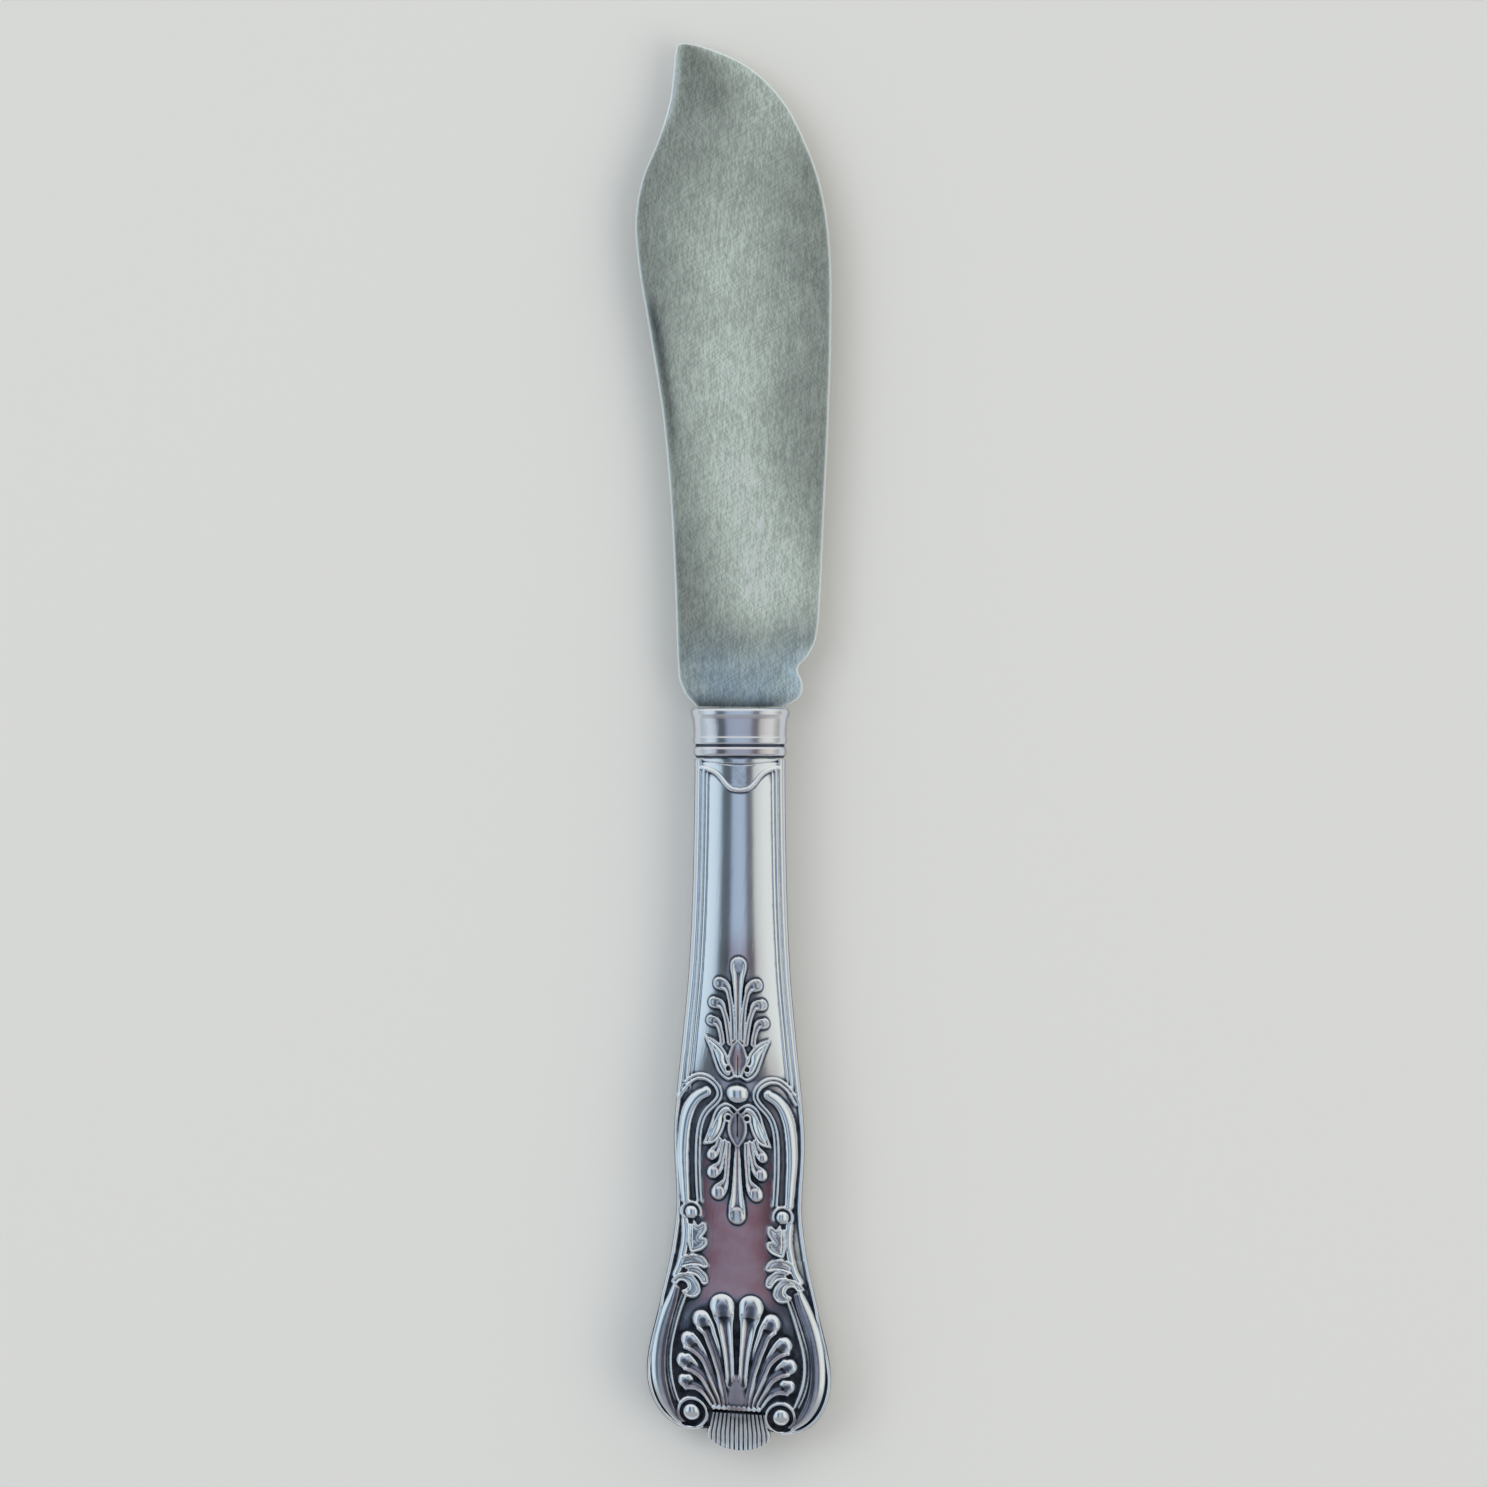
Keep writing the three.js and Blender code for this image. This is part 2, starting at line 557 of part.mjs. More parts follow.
// Scallop shell: a fan of lobes over a cross bar.
function scallop() {
  const lobes = SHELL_LOBES.flatMap(([x, b, radius], i) => {
    const foot = SHELL_STEM_FIRST + SHELL_STEM_STEP * i;
    const from = SHELL_FOOT + SHELL_STEM_RISE;
    const bend = [foot + 0.22 * (x - foot), from + (0.5 - 0.02 * i) * (b - SHELL_FOOT)];
    const stem = [[foot, from], bend, [x, b]];
    return pair((side) => drop(onSide(stem, side), SHELL_STEM_HALF_WIDTH, radius, SHELL_LOBE_HEIGHT));
  });
  const reach = TAIL_HALF_WIDTH - SHELL_BAR_SHORT;
  const across = [[-reach, SHELL_FOOT], [reach, SHELL_FOOT]];
  const bar = ridge(across, SHELL_BAR_HALF_WIDTH, BORDER_HEIGHT, 4, LOW_ARCH);
  return [...lobes, bar];
}

// Fluted tail: a fan of flutes with a rounded end, rooted under the scallop shell.
function tail() {
  const top = SHELL_FOOT - TAIL_BELOW_SHELL;
  const columns = 2 * FLUTES;
  const section = (b) => {
    const narrowing = (TAIL_TAPER * Math.max(0, b - BUTT_FOOT)) / (top - BUTT_FOOT);
    const reach = halfWidth(Math.min(b, 0.99 * BUTT_FOOT)) - narrowing;
    const flutes = Array.from({ length: columns + 1 }, (_, i) => {
      const x = reach * ((2 * i) / columns - 1);
      return place(x, b, ground(x, b) + (i % 2 ? FLUTE_HEIGHT : 0.2 * FLUTE_HEIGHT));
    });
    return [place(-reach, b, -1.4 * PAST_SEAM), ...flutes, place(reach, b, -1.4 * PAST_SEAM)];
  };
  return loft([...BUTT_ROWS, top].map(section));
}

// Sub-parts

// Front half of the handle: a struck shell with its relief, a shoulder and a half-round neck.
function frontShell() {
  const root = frontSection(BODY_ROOT, TAIL_HALF_WIDTH - BODY_ROOT_INSET, BODY_ROOT_SINK);
  const body = loft([root, ...[...ROUND_ROWS, ...SIDE_ROWS].map((b) => frontSection(b))]);
  const relief = [
    tab(),
    anthemion(UPPER_LOBES, UPPER_DROP, UPPER_ROOT, PEARL_FROM_BUTT + 1.9),
    anthemion(LOWER_LOBES, LOWER_DROP, LOWER_ROOT, PEARL_FROM_BUTT - 1.6),
    pearl(0, PEARL_FROM_BUTT, PEARL_HALF_WIDTH, PEARL_HALF_LENGTH, PEARL_HEIGHT, 10),
    upperScrolls(),
    sideLeaves(),
    lowerScrolls(),
    scallop(),
    tail(),
  ].flat();
  const neckFrom = NECK_END - HANDLE_LENGTH - SHOULDER_WALL;
  const neckTo = -COLLAR_LENGTH + SPIGOT_LENGTH;
  const neck = loft(
    [neckFrom, neckTo].map((y) => halfOval(SPIGOT_HALF_WIDTH, SPIGOT_HALF_THICKNESS, y, -1.8 * PAST_SEAM)),
  );
  const bore = loft(
    [neckFrom - 1, neckTo + 1].map((y) =>
      halfOval(SPIGOT_HALF_WIDTH - SHELL_WALL, SPIGOT_HALF_THICKNESS - SHELL_WALL, y, -2.4 * PAST_SEAM),
    ),
  );
  const cavityRows = [CAVITY_START, ...SIDE_ROWS.filter((b, i) => i % 2 === 0 && b < NECK_END - 4)];
  const cavity = loft(
    [...cavityRows, NECK_END - SHOULDER_WALL].map((b) => halfSection(b, SHELL_WALL, -2 * PAST_SEAM)),
  );
  const beyondSeam = new THREE.BoxGeometry(4 * BUTT_HALF_WIDTH, 3 * HANDLE_LENGTH, 4);
  beyondSeam.translate(0, 0, SEAM / 2 - 2);
  const struck = relief.reduce((solid, raised) => solid.add(raised), body);
  const hollow = struck.add(neck).subtract(cavity).subtract(bore).subtract(toSolid(beyondSeam));
  return toGeometry(hollow.asOriginal().simplify(SLIVER));
}

const SPIGOT_HALF_WIDTH = COLLAR_FOOT_HALF_WIDTH - COLLAR_WALL - SPIGOT_CLEARANCE;
const SPIGOT_HALF_THICKNESS = COLLAR_FOOT_HALF_THICKNESS - COLLAR_WALL - SPIGOT_CLEARANCE;

// The back is the mirror image of the front, struck in a matching pair of dies.
function mirrored(geometry) {
  const back = geometry.clone().scale(1, 1, -1);
  const index = back.index.array;
  for (let i = 0; i < index.length; i += 3) {
    [index[i + 1], index[i + 2]] = [index[i + 2], index[i + 1]];
  }
  return back;
}

// Silver solder between the halves: a ribbon as wide as the walls, open at the neck.
function seamSolder() {
  const rows = [...BUTT_ROWS, ...ROUND_ROWS, ...SIDE_ROWS];
  const slab = (b, inset, half) => {
    const reach = halfWidth(b) - inset;
    return [place(-reach, b, -half), place(-reach, b, half), place(reach, b, half), place(reach, b, -half)];
  };
  const outer = loft(rows.map((b) => slab(b, 0, SEAM / 2)));
  const inner = loft(
    [CAVITY_START, ...SIDE_ROWS, NECK_END + 1].map((b) => slab(b, SHELL_WALL, SEAM)),
  );
  return toGeometry(outer.subtract(inner));
}

// Filling of the handle, cast round the tang.
function filling() {
  const inset = SHELL_WALL + FILLING_GAP;
  const from = CAVITY_START + FILLING_GAP;
  const to = NECK_END - SHOULDER_WALL - FILLING_GAP;
  const rows = [from, ...SIDE_ROWS.filter((b, i) => i % 2 === 0 && b > from + 1 && b < to - 4), to];
  const body = loft(rows.map((b) => wholeSection(b, inset)));
  const neck = loft(
    [to - HANDLE_LENGTH - 1, -COLLAR_LENGTH + SPIGOT_LENGTH].map((y) =>
      oval(SPIGOT_HALF_WIDTH - inset, SPIGOT_HALF_THICKNESS - inset, y),
    ),
  );
  return toGeometry(body.add(neck).subtract(tang(TANG_CLEARANCE)));
}

// Tapered tang, or the socket round it where a clearance is given.
function tang(clearance) {
  const half = TANG_THICKNESS / 2 + clearance;
  const bar = (y, width) => {
    const reach = width / 2 + clearance;
    return [[-reach, y, -half], [-reach, y, half], [reach, y, half], [reach, y, -half]];
  };
  return loft([bar(-TANG_LENGTH - clearance, TANG_END_WIDTH), bar(TANG_ROOT, TANG_ROOT_WIDTH)]);
}

// Collar: a drawn cup with a rolled lip, a plain band, a turned bead between two grooves, and a slotted
// end.
function collar() {
  const beadFrom = COLLAR_LENGTH - COLLAR_BEAD_LENGTH - COLLAR_GROOVE;
  const stepFrom = beadFrom - COLLAR_STEP_LENGTH;
  const profile = [
    [0, -0.35],
    [0.12, -0.1],
    [0.4, 0],
    [0.8 * COLLAR_LIP_LENGTH, -0.03],
    [COLLAR_LIP_LENGTH, -0.06],
    [1.6 * COLLAR_LIP_LENGTH, -COLLAR_BAND_DIP],
    [stepFrom - 0.12, -0.8 * COLLAR_BAND_DIP],
    [stepFrom + 0.05, COLLAR_STEP_RISE],
    [beadFrom - 0.2, COLLAR_STEP_RISE],
    [beadFrom, -COLLAR_GROOVE],
    [beadFrom + 0.25, 0],
    [beadFrom + 0.5 * COLLAR_BEAD_LENGTH, COLLAR_BEAD_RISE],
    [beadFrom + COLLAR_BEAD_LENGTH - 0.1, 0],
    [COLLAR_LENGTH - 0.3 * COLLAR_GROOVE, -0.6 * COLLAR_GROOVE],
    [COLLAR_LENGTH, -0.6 * COLLAR_GROOVE],
  ];
  const blend = (lip, foot, depth) => lip + ((foot - lip) * depth) / COLLAR_LENGTH;
  const outer = loft(
    profile.reverse().map(([depth, rise]) =>
      oval(
        blend(COLLAR_LIP_HALF_WIDTH, COLLAR_FOOT_HALF_WIDTH, depth) + rise,
        blend(COLLAR_LIP_HALF_THICKNESS, COLLAR_FOOT_HALF_THICKNESS, depth) + rise,
        -depth,
      ),
    ),
  );
  const cup = loft(
    [-COLLAR_LENGTH - 1, -COLLAR_MOUTH_WALL].map((y) =>
      oval(COLLAR_FOOT_HALF_WIDTH - COLLAR_WALL, COLLAR_FOOT_HALF_THICKNESS - COLLAR_WALL, y),
    ),
  );
  return toGeometry(outer.subtract(cup).subtract(tang(TANG_CLEARANCE)));
}

// Blade: a flat plate with a rounded rim, and the tang in one piece with it.
function blade() {
  const tip = BLADE_LENGTH;
  const seat = BLADE_SEAT_GAP;
  const outline = new THREE.Shape();
  const through = (points) => outline.splineThru(points.map(([x, y]) => new THREE.Vector2(x, y)));
  outline.moveTo(-BLADE_ROOT_HALF_WIDTH, seat);
  outline.quadraticCurveTo(-SPINE_HEEL + 0.1, 2.2, -SPINE_HEEL, 4.6);
  through([
    [-SPINE_HEEL - 0.3, 12],
    [-SPINE_HEEL - 1.05, 26.5],
    [-SPINE_BELLY + 3.5, tip - 46.8],
    [-SPINE_BELLY + 1.9, tip - 36.6],
    [-SPINE_BELLY + 0.3, tip - 26.8],
    [-SPINE_BELLY, tip - 22.9],
    [-SPINE_BELLY + 0.8, tip - 17.2],
    [-TIP_REACH - 2.3, tip - 12.3],
    [-TIP_REACH - 0.8, tip - 7.3],
    [-TIP_REACH - 0.25, tip - 2.8],
    [-TIP_REACH, tip - 0.6],
  ]);
  outline.quadraticCurveTo(-TIP_REACH, tip, -TIP_REACH + 0.8, tip);
  through([
    [-TIP_REACH + 5, tip - 1.1],
    [-TIP_REACH + 8.9, tip - 2.9],
    [EDGE_BELLY - 6, tip - 7.3],
    [EDGE_BELLY - 3.3, tip - 12.3],
    [EDGE_BELLY - 1.5, tip - 17.2],
    [EDGE_BELLY - 0.5, tip - 22.3],
    [EDGE_BELLY, tip - 30],
    [EDGE_BELLY - 0.3, tip - 46.8],
    [EDGE_HEEL + 0.6, 25],
    [EDGE_HEEL, 11.5],
  ]);
  through([
    [EDGE_HEEL - 0.45, NOTCH_HEIGHT + 3.6],
    [NOTCH_REACH + 1.1, NOTCH_HEIGHT + 1.4],
    [NOTCH_REACH, NOTCH_HEIGHT],
    [NOTCH_REACH + 0.6, NOTCH_HEIGHT - 2],
    [NOTCH_REACH + 0.1, NOTCH_HEIGHT - 3.6],
    [BLADE_ROOT_HALF_WIDTH, seat],
  ]);
  const plate = new THREE.ExtrudeGeometry(outline, {
    depth: BLADE_THICKNESS - 2 * BLADE_RIM,
    curveSegments: 3,
    bevelThickness: BLADE_RIM,
    bevelSize: BLADE_RIM,
    bevelOffset: -BLADE_RIM,
    bevelSegments: 2,
  });
  plate.translate(0, 0, -BLADE_THICKNESS / 2 + BLADE_RIM);
  return toGeometry(toSolid(plate).add(tang(0)));
}

// Assembly

const silver = new THREE.MeshStandardMaterial({ color: 0xb9bbb8, roughness: 0.22, metalness: 1 });
const satinSilver = new THREE.MeshStandardMaterial({ color: 0x9da19c, roughness: 0.42, metalness: 1 });
const solder = new THREE.MeshStandardMaterial({ color: 0xa3a29d, roughness: 0.4, metalness: 1 });
const pitch = new THREE.MeshStandardMaterial({ color: 0x2b211a, roughness: 0.85, metalness: 0 });

function named(name, geometry, material) {
  const mesh = new THREE.Mesh(geometry, material);
  mesh.name = name;
  return mesh;
}

const front = frontShell();
const knife = new THREE.Group();
knife.add(
  named("blade", blade(), satinSilver),
  named("collar", collar(), silver),
  named("front_shell", front, silver),
  named("back_shell", mirrored(front), silver),
  named("seam_solder", seamSolder(), solder),
  named("filling", filling(), pitch),
);

const box = new THREE.Box3().setFromObject(knife);
knife.position.set(-(box.min.x + box.max.x) / 2, -(box.min.y + box.max.y) / 2, -box.min.z);

const part = new THREE.Group();
part.add(knife);

export default part;
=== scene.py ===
import math

import bmesh
import bpy
import numpy as np
from bpy.props import FloatProperty, FloatVectorProperty, PointerProperty
from bpy.types import Operator, Panel, PropertyGroup
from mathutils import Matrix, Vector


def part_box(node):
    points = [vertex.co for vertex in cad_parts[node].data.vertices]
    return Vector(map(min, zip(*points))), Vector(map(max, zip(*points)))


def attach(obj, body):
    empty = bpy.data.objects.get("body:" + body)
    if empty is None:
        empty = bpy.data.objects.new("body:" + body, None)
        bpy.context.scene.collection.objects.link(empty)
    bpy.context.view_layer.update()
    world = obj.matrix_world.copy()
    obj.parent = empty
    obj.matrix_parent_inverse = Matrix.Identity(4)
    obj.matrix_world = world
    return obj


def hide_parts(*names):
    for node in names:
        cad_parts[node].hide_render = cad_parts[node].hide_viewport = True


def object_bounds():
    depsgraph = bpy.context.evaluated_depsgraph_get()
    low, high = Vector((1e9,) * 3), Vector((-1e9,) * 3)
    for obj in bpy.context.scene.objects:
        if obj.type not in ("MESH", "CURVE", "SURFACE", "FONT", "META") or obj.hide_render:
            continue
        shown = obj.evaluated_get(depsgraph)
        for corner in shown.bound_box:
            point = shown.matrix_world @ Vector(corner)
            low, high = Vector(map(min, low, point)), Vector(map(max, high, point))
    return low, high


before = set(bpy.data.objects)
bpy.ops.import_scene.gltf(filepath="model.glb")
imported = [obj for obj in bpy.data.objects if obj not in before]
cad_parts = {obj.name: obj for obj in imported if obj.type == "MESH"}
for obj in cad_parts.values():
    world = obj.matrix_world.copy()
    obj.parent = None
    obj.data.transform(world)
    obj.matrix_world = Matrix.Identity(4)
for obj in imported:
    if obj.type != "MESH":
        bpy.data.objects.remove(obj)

bl_info = {
    "name": "Butter Knife",
    "version": (1, 0, 0),
    "blender": (4, 5, 0),
    "location": "View3D > Sidebar > Knife",
    "description": "A silver butter knife with a struck hollow handle",
    "category": "Object",
}

MM = 0.001
CAD_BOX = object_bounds()
COLLAR_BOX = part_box("collar")
FRONT_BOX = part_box("front_shell")
BACK_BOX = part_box("back_shell")
BLADE_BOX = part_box("blade")

# Datum of the knife in the frame: the handle's axis, the collar's mouth and the seam.
AXIS_X = (FRONT_BOX[0][0] + FRONT_BOX[1][0]) / 2
MOUTH_Y = COLLAR_BOX[1][1]
SEAM_Z = (FRONT_BOX[0][2] + BACK_BOX[1][2]) / 2

# Lengths along the knife in millimetres, from the collar's mouth.
HANDLE_LENGTH = (MOUTH_Y - FRONT_BOX[0][1]) / MM
COLLAR_LENGTH = (MOUTH_Y - COLLAR_BOX[0][1]) / MM
BLADE_LENGTH = (BLADE_BOX[1][1] - MOUTH_Y) / MM
NECK = COLLAR_LENGTH + 0.15
SEAM_HALF = (FRONT_BOX[0][2] - SEAM_Z) / MM


# Settings

class KnifeHandleSettings(PropertyGroup):
    """Sizes of the struck handle."""

    butt_half_width: FloatProperty(
        name="Butt half width", description="Half the greatest width of the handle",
        default=(FRONT_BOX[1][0] - FRONT_BOX[0][0]) / 2, unit="LENGTH", precision=5)
    wall: FloatProperty(
        name="Wall", description="Thickness of the struck sheet",
        default=0.75 * MM, unit="LENGTH", precision=5)
    relief: FloatProperty(
        name="Relief", description="Height of the raised ornament, as a share of the die's full depth",
        default=1.0, min=0.0, max=1.5)
    skew: FloatProperty(
        name="Strike skew", description="How far the right side of the pattern sits lower, per unit of width",
        default=0.062, min=0.0, max=0.2)


class KnifeBladeSettings(PropertyGroup):
    """Sizes of the blade."""

    thickness: FloatProperty(
        name="Thickness", description="Thickness in the middle of the blade",
        default=BLADE_BOX[1][2] - BLADE_BOX[0][2], unit="LENGTH", precision=5)
    rim: FloatProperty(
        name="Rim rounding", description="Radius of the rounded rim",
        default=0.32 * MM, unit="LENGTH", precision=5)
    crown: FloatProperty(
        name="Crown", description="How far each face falls from the middle to the rim",
        default=0.07 * MM, unit="LENGTH", precision=5)


class KnifeFinishSettings(PropertyGroup):
    """Colours and gloss of the metals."""

    silver: FloatVectorProperty(
        name="Silver", description="Colour of the polished silver", subtype="COLOR",
        default=(0.794, 0.853, 0.925), min=0.0, max=1.0)
    blade: FloatVectorProperty(
        name="Blade silver", description="Colour of the worn blade", subtype="COLOR",
        default=(0.886, 0.96, 0.872), min=0.0, max=1.0)
    # Bluish tint of the stain on the heel and of the painted shade in a band inside the spine.
    blade_stain_and_shade: FloatVectorProperty(
        name="Blade stain", description="Tint of the bluish stain at the blade's heel", subtype="COLOR",
        default=(0.676, 0.833, 0.947), min=0.0, max=1.0)
    tarnish: FloatVectorProperty(
        name="Tarnish", description="Colour of the blackened hollows", subtype="COLOR",
        default=(0.0165, 0.0195, 0.028), min=0.0, max=1.0)
    # Mauve: partly thin tarnish film, partly painted reflection of the dim overhead where the metal faces up.
    mauve: FloatVectorProperty(
        name="Mauve", description="Tint of the thin film on the low ground", subtype="COLOR",
        default=(0.397, 0.196, 0.226), min=0.0, max=1.0)
    film: FloatVectorProperty(
        name="Film", description="Tint of the thicker tarnish round the hollows", subtype="COLOR",
        default=(0.2, 0.225, 0.29), min=0.0, max=1.0)
    pitch: FloatVectorProperty(
        name="Pitch", description="Colour of the filling", subtype="COLOR",
        default=(0.03, 0.022, 0.017), min=0.0, max=1.0)


class KnifeStageSettings(PropertyGroup):
    """Floor, light and camera."""

    floor: FloatVectorProperty(
        name="Floor", description="Colour of the floor", subtype="COLOR",
        default=(0.80, 0.79, 0.77), min=0.0, max=1.0)
    camera_height: FloatProperty(
        name="Camera height", description="Distance of the camera above the knife",
        default=0.62, unit="LENGTH")
    frame_width: FloatProperty(
        name="Frame width", description="Width of the picture at the knife",
        default=0.1847, unit="LENGTH", precision=5)


# Curves and forms

def smooth_through(knots, at):
    """Monotone cubic through (place, value) knots: the slope at a knot is the harmonic mean of the slopes
    on its two sides, or zero where the values turn or end."""
    place, value = np.array(knots, float).T
    rise = np.diff(value) / np.diff(place)
    turns = rise[:-1] * rise[1:] <= 0
    total = np.where(turns, 1.0, rise[:-1] + rise[1:])
    slope = np.zeros_like(value)
    slope[1:-1] = np.where(turns, 0.0, 2 * rise[:-1] * rise[1:] / total)
    at = np.clip(at, place[0], place[-1])
    i = np.clip(np.searchsorted(place, at) - 1, 0, len(place) - 2)
    span = place[i + 1] - place[i]
    t = (at - place[i]) / span
    ease = t * t * (3 - 2 * t)
    bend = span * (slope[i] * t * (1 - t) ** 2 - slope[i + 1] * t * t * (1 - t))
    return value[i] * (1 - ease) + value[i + 1] * ease + bend


def curve_through(points, count=40):
    """Cubic curve through points: each tangent is the central difference over the chord lengths, and the
    curve is sampled evenly by chord length."""
    p = np.array(points, float)
    t = run_along(p)
    m = np.gradient(p, t, axis=0)
    at = np.linspace(0, t[-1], count)
    i = np.clip(np.searchsorted(t, at) - 1, 0, len(t) - 2)
    span = (t[i + 1] - t[i])[:, None]
    u = ((at - t[i]) / (t[i + 1] - t[i]))[:, None]
    return (
        p[i] * (1 + 2 * u) * (1 - u) ** 2 + p[i + 1] * u * u * (3 - 2 * u)
        + m[i] * span * u * (1 - u) ** 2 - m[i + 1] * span * u * u * (1 - u)
    )


def beside(path, distance):
    """Path moved sideways along its normals, to the right of its heading as the front is seen."""
    heading = np.gradient(path, axis=0)
    heading /= np.linalg.norm(heading, axis=1)[:, None]
    return path + distance * np.stack([-heading[:, 1], heading[:, 0]], axis=1)


def run_along(path):
    """Distance along a path from its start to each of its points."""
    return np.concatenate([[0], np.cumsum(np.hypot(*np.diff(path, axis=0).T))])


def in_frame(x, along, z):
    """Points of the frame in metres, from millimetres off the axis, below the collar's mouth and off the
    seam."""
    return np.stack([AXIS_X + x * MM, MOUTH_Y - along * MM, SEAM_Z + z * MM], axis=-1)


def ease_between(low, high, at):
    """Smooth step from 0 at low to 1 at high."""
    t = np.clip((at - low) / (high - low), 0, 1)
    return t * t * (3 - 2 * t)


def ease_over(start, full, fall, end, at):
    """Smooth rise from 0 at the start to 1 where it is full, and back to 0 from the fall to the end."""
    return ease_between(start, full, at) * (1 - ease_between(fall, end, at))


def bell(off, width):
    """Bell curve: 1 in the middle, and 1/e at the width."""
    return np.exp(-(off / width) ** 2)


# Meshes

# Values kept for each point: how tarnished it is, with painted shade on the handle's sides and the collar's
# flanks; how strong its mauve tint is, partly thin film and partly painted reflection; and how stained it is.
# On the blade the first is how dark the face is, with painted shade inside the spine and a painted shadow
# beside the collar, the second how rubbed the rim is, and the third holds painted shade inside the spine too.
ATTRIBUTES = ("hollow", "film_sheen_and_rim", "stain")
SEAM_GAP = 1e-7  # metres, up to which two points are one


def mesh_object(name, patches):
    """Object from closed patches. A patch is an array of points (rows, columns, 3): its rows run along the
    piece, and its columns run round a closed section, anticlockwise for someone who looks along the rows.
    Unless its rows come back to the first one, both ends are capped, with sharp edges round the caps. With
    the points come the values of the attributes, as arrays or as one number; those left out are zero."""
    points, sizes, corners, ends = [], [], [], []
    shades = {label: [] for label in ATTRIBUTES}
    base = 0
    for grid, *values in patches:
        rows, columns = grid.shape[:2]
        index = base + np.arange(rows * columns).reshape(rows, columns)
        ahead = np.roll(index, -1, axis=1)
        quads = np.stack([index[:-1], index[1:], ahead[1:], ahead[:-1]], axis=-1).reshape(-1, 4)
        end = np.zeros((rows, columns), int)
        caps = []
        if not np.allclose(grid[0], grid[-1]):
            caps = [index[0], index[-1][::-1]]
            end[0], end[-1] = 2 * len(ends) + 1, 2 * len(ends) + 2
        points.append(grid.reshape(-1, 3))
        ends.append(end.reshape(-1))
        sizes.append(np.concatenate([np.full(len(quads), 4), np.full(len(caps), columns)]))
        corners.append(np.concatenate([quads.reshape(-1), *caps]))
        for shade, value in zip(shades.values(), [*values, 0.0]):
            shade.append(np.broadcast_to(value, (rows, columns)).reshape(-1))
        base += rows * columns
    points, sizes, corners = (np.concatenate(part) for part in (points, sizes, corners))
    mesh = bpy.data.meshes.new(name)
    mesh.vertices.add(len(points))
    mesh.vertices.foreach_set("co", points.astype(np.float32).reshape(-1))
    mesh.loops.add(len(corners))
    mesh.loops.foreach_set("vertex_index", corners.astype(np.int32))
    mesh.polygons.add(len(sizes))
    starts = np.concatenate([[0], np.cumsum(sizes)[:-1]])
    mesh.polygons.foreach_set("loop_start", starts.astype(np.int32))
    mesh.polygons.foreach_set("loop_total", sizes.astype(np.int32))
    mesh.polygons.foreach_set("use_smooth", sizes == 4)
    for label, shade in shades.items():
        attribute = mesh.attributes.new(label, "FLOAT", "POINT")
        attribute.data.foreach_set("value", np.concatenate(shade).astype(np.float32))
    mesh.update(calc_edges=True)
    pairs = np.empty(2 * len(mesh.edges), np.int32)
    mesh.edges.foreach_get("vertices", pairs)
    first, second = np.concatenate(ends)[pairs.reshape(-1, 2)].T
    sharp = mesh.attributes.new("sharp_edge", "BOOLEAN", "EDGE")
    sharp.data.foreach_set("value", (first == second) & (first > 0))
    mesh.validate()
    close_seams(mesh)
    piece = bpy.data.objects.new(name, mesh)
    bpy.context.collection.objects.link(piece)
    return piece


def close_seams(mesh):
    """Merges the points that coincide and removes the faces that have no area."""
    work = bmesh.new()
    work.from_mesh(mesh)
    bmesh.ops.remove_doubles(work, verts=work.verts, dist=SEAM_GAP)
    bmesh.ops.dissolve_degenerate(work, edges=work.edges, dist=SEAM_GAP)
    work.to_mesh(mesh)
    work.free()


def finish_piece(piece, node, material):
    """The piece rides on the knife, stands for its node and takes its finish."""
    piece.data.materials.append(material)
    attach(piece, "root")
    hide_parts(node)


# Handle form, in millimetres

BUTT_WIDEST = 9.6  # from the end of the butt, as are the next and the places of the smooth curves below
BUTT_FOOT = 2.35
VOLUTE_UNDERSIDE = 5.9  # from the axis to where the round of the butt ends under a volute
VOLUTE_ROUND = 2.2  # radius of the butt's foot round a volute, which runs in for the next length
VOLUTE_RUN = 1.45
TAIL_HALF_WIDTH = 3.95
TAIL_ROUND = 2.1  # length of the tail's rounded end
TAIL_TAPER = 0.55  # narrowing of each side over the next length, from the rounded end up
TAIL_TAPER_RUN = 2.6
FLUTES = 14
NECK_EDGE_WALL = 1.85  # height of the upright side over the seam, at the neck and at the butt
BUTT_EDGE_WALL = 3.1
EDGE_WALL_FROM = 30  # from the end of the butt: the stretch over which that height changes
EDGE_WALL_TO = 60
BORDER = 1.95  # width of the closer columns along each side
BUTT_TOP = 68.0  # below the collar's mouth: the joint between panel and butt
PANEL_STEP = 0.1  # between the rows of the panel, and of the butt
BUTT_STEP = 0.08
PLAIN_FROM = 11.2  # below the collar's mouth: the plain stretch of the panel, with rows of its own step
PLAIN_TO = 29.5
PLAIN_STEP = 0.6
PANEL_COLUMNS = (18, 145)  # in each border and across the middle
BUTT_COLUMNS = (26, 255)
OVERLAP = 3.0  # how far rows go on past the joint, for the tarnish alone
DIE_ROUNDING = 0.08  # spread that softens the struck relief
INNER_COLUMNS = 9  # across the inner wall
# Painted shade up the upright side of the handle, darkest at the seam
SIDE_SHADE = (0.3, 0.02, 0.05)  # up the upright side from the seam
INNER_TARNISH = 0.4
NECK_TOP = 2.4  # below the collar's mouth: the end of the tube inside the collar
NECK_ROOT = 0.8  # how far that tube goes down into the shell
NECK_OUTSIDE = (4.55, 2.8)  # half width and half thickness of the tube
NECK_INSIDE = (3.8, 2.05)
OVAL_POWER = 2.5


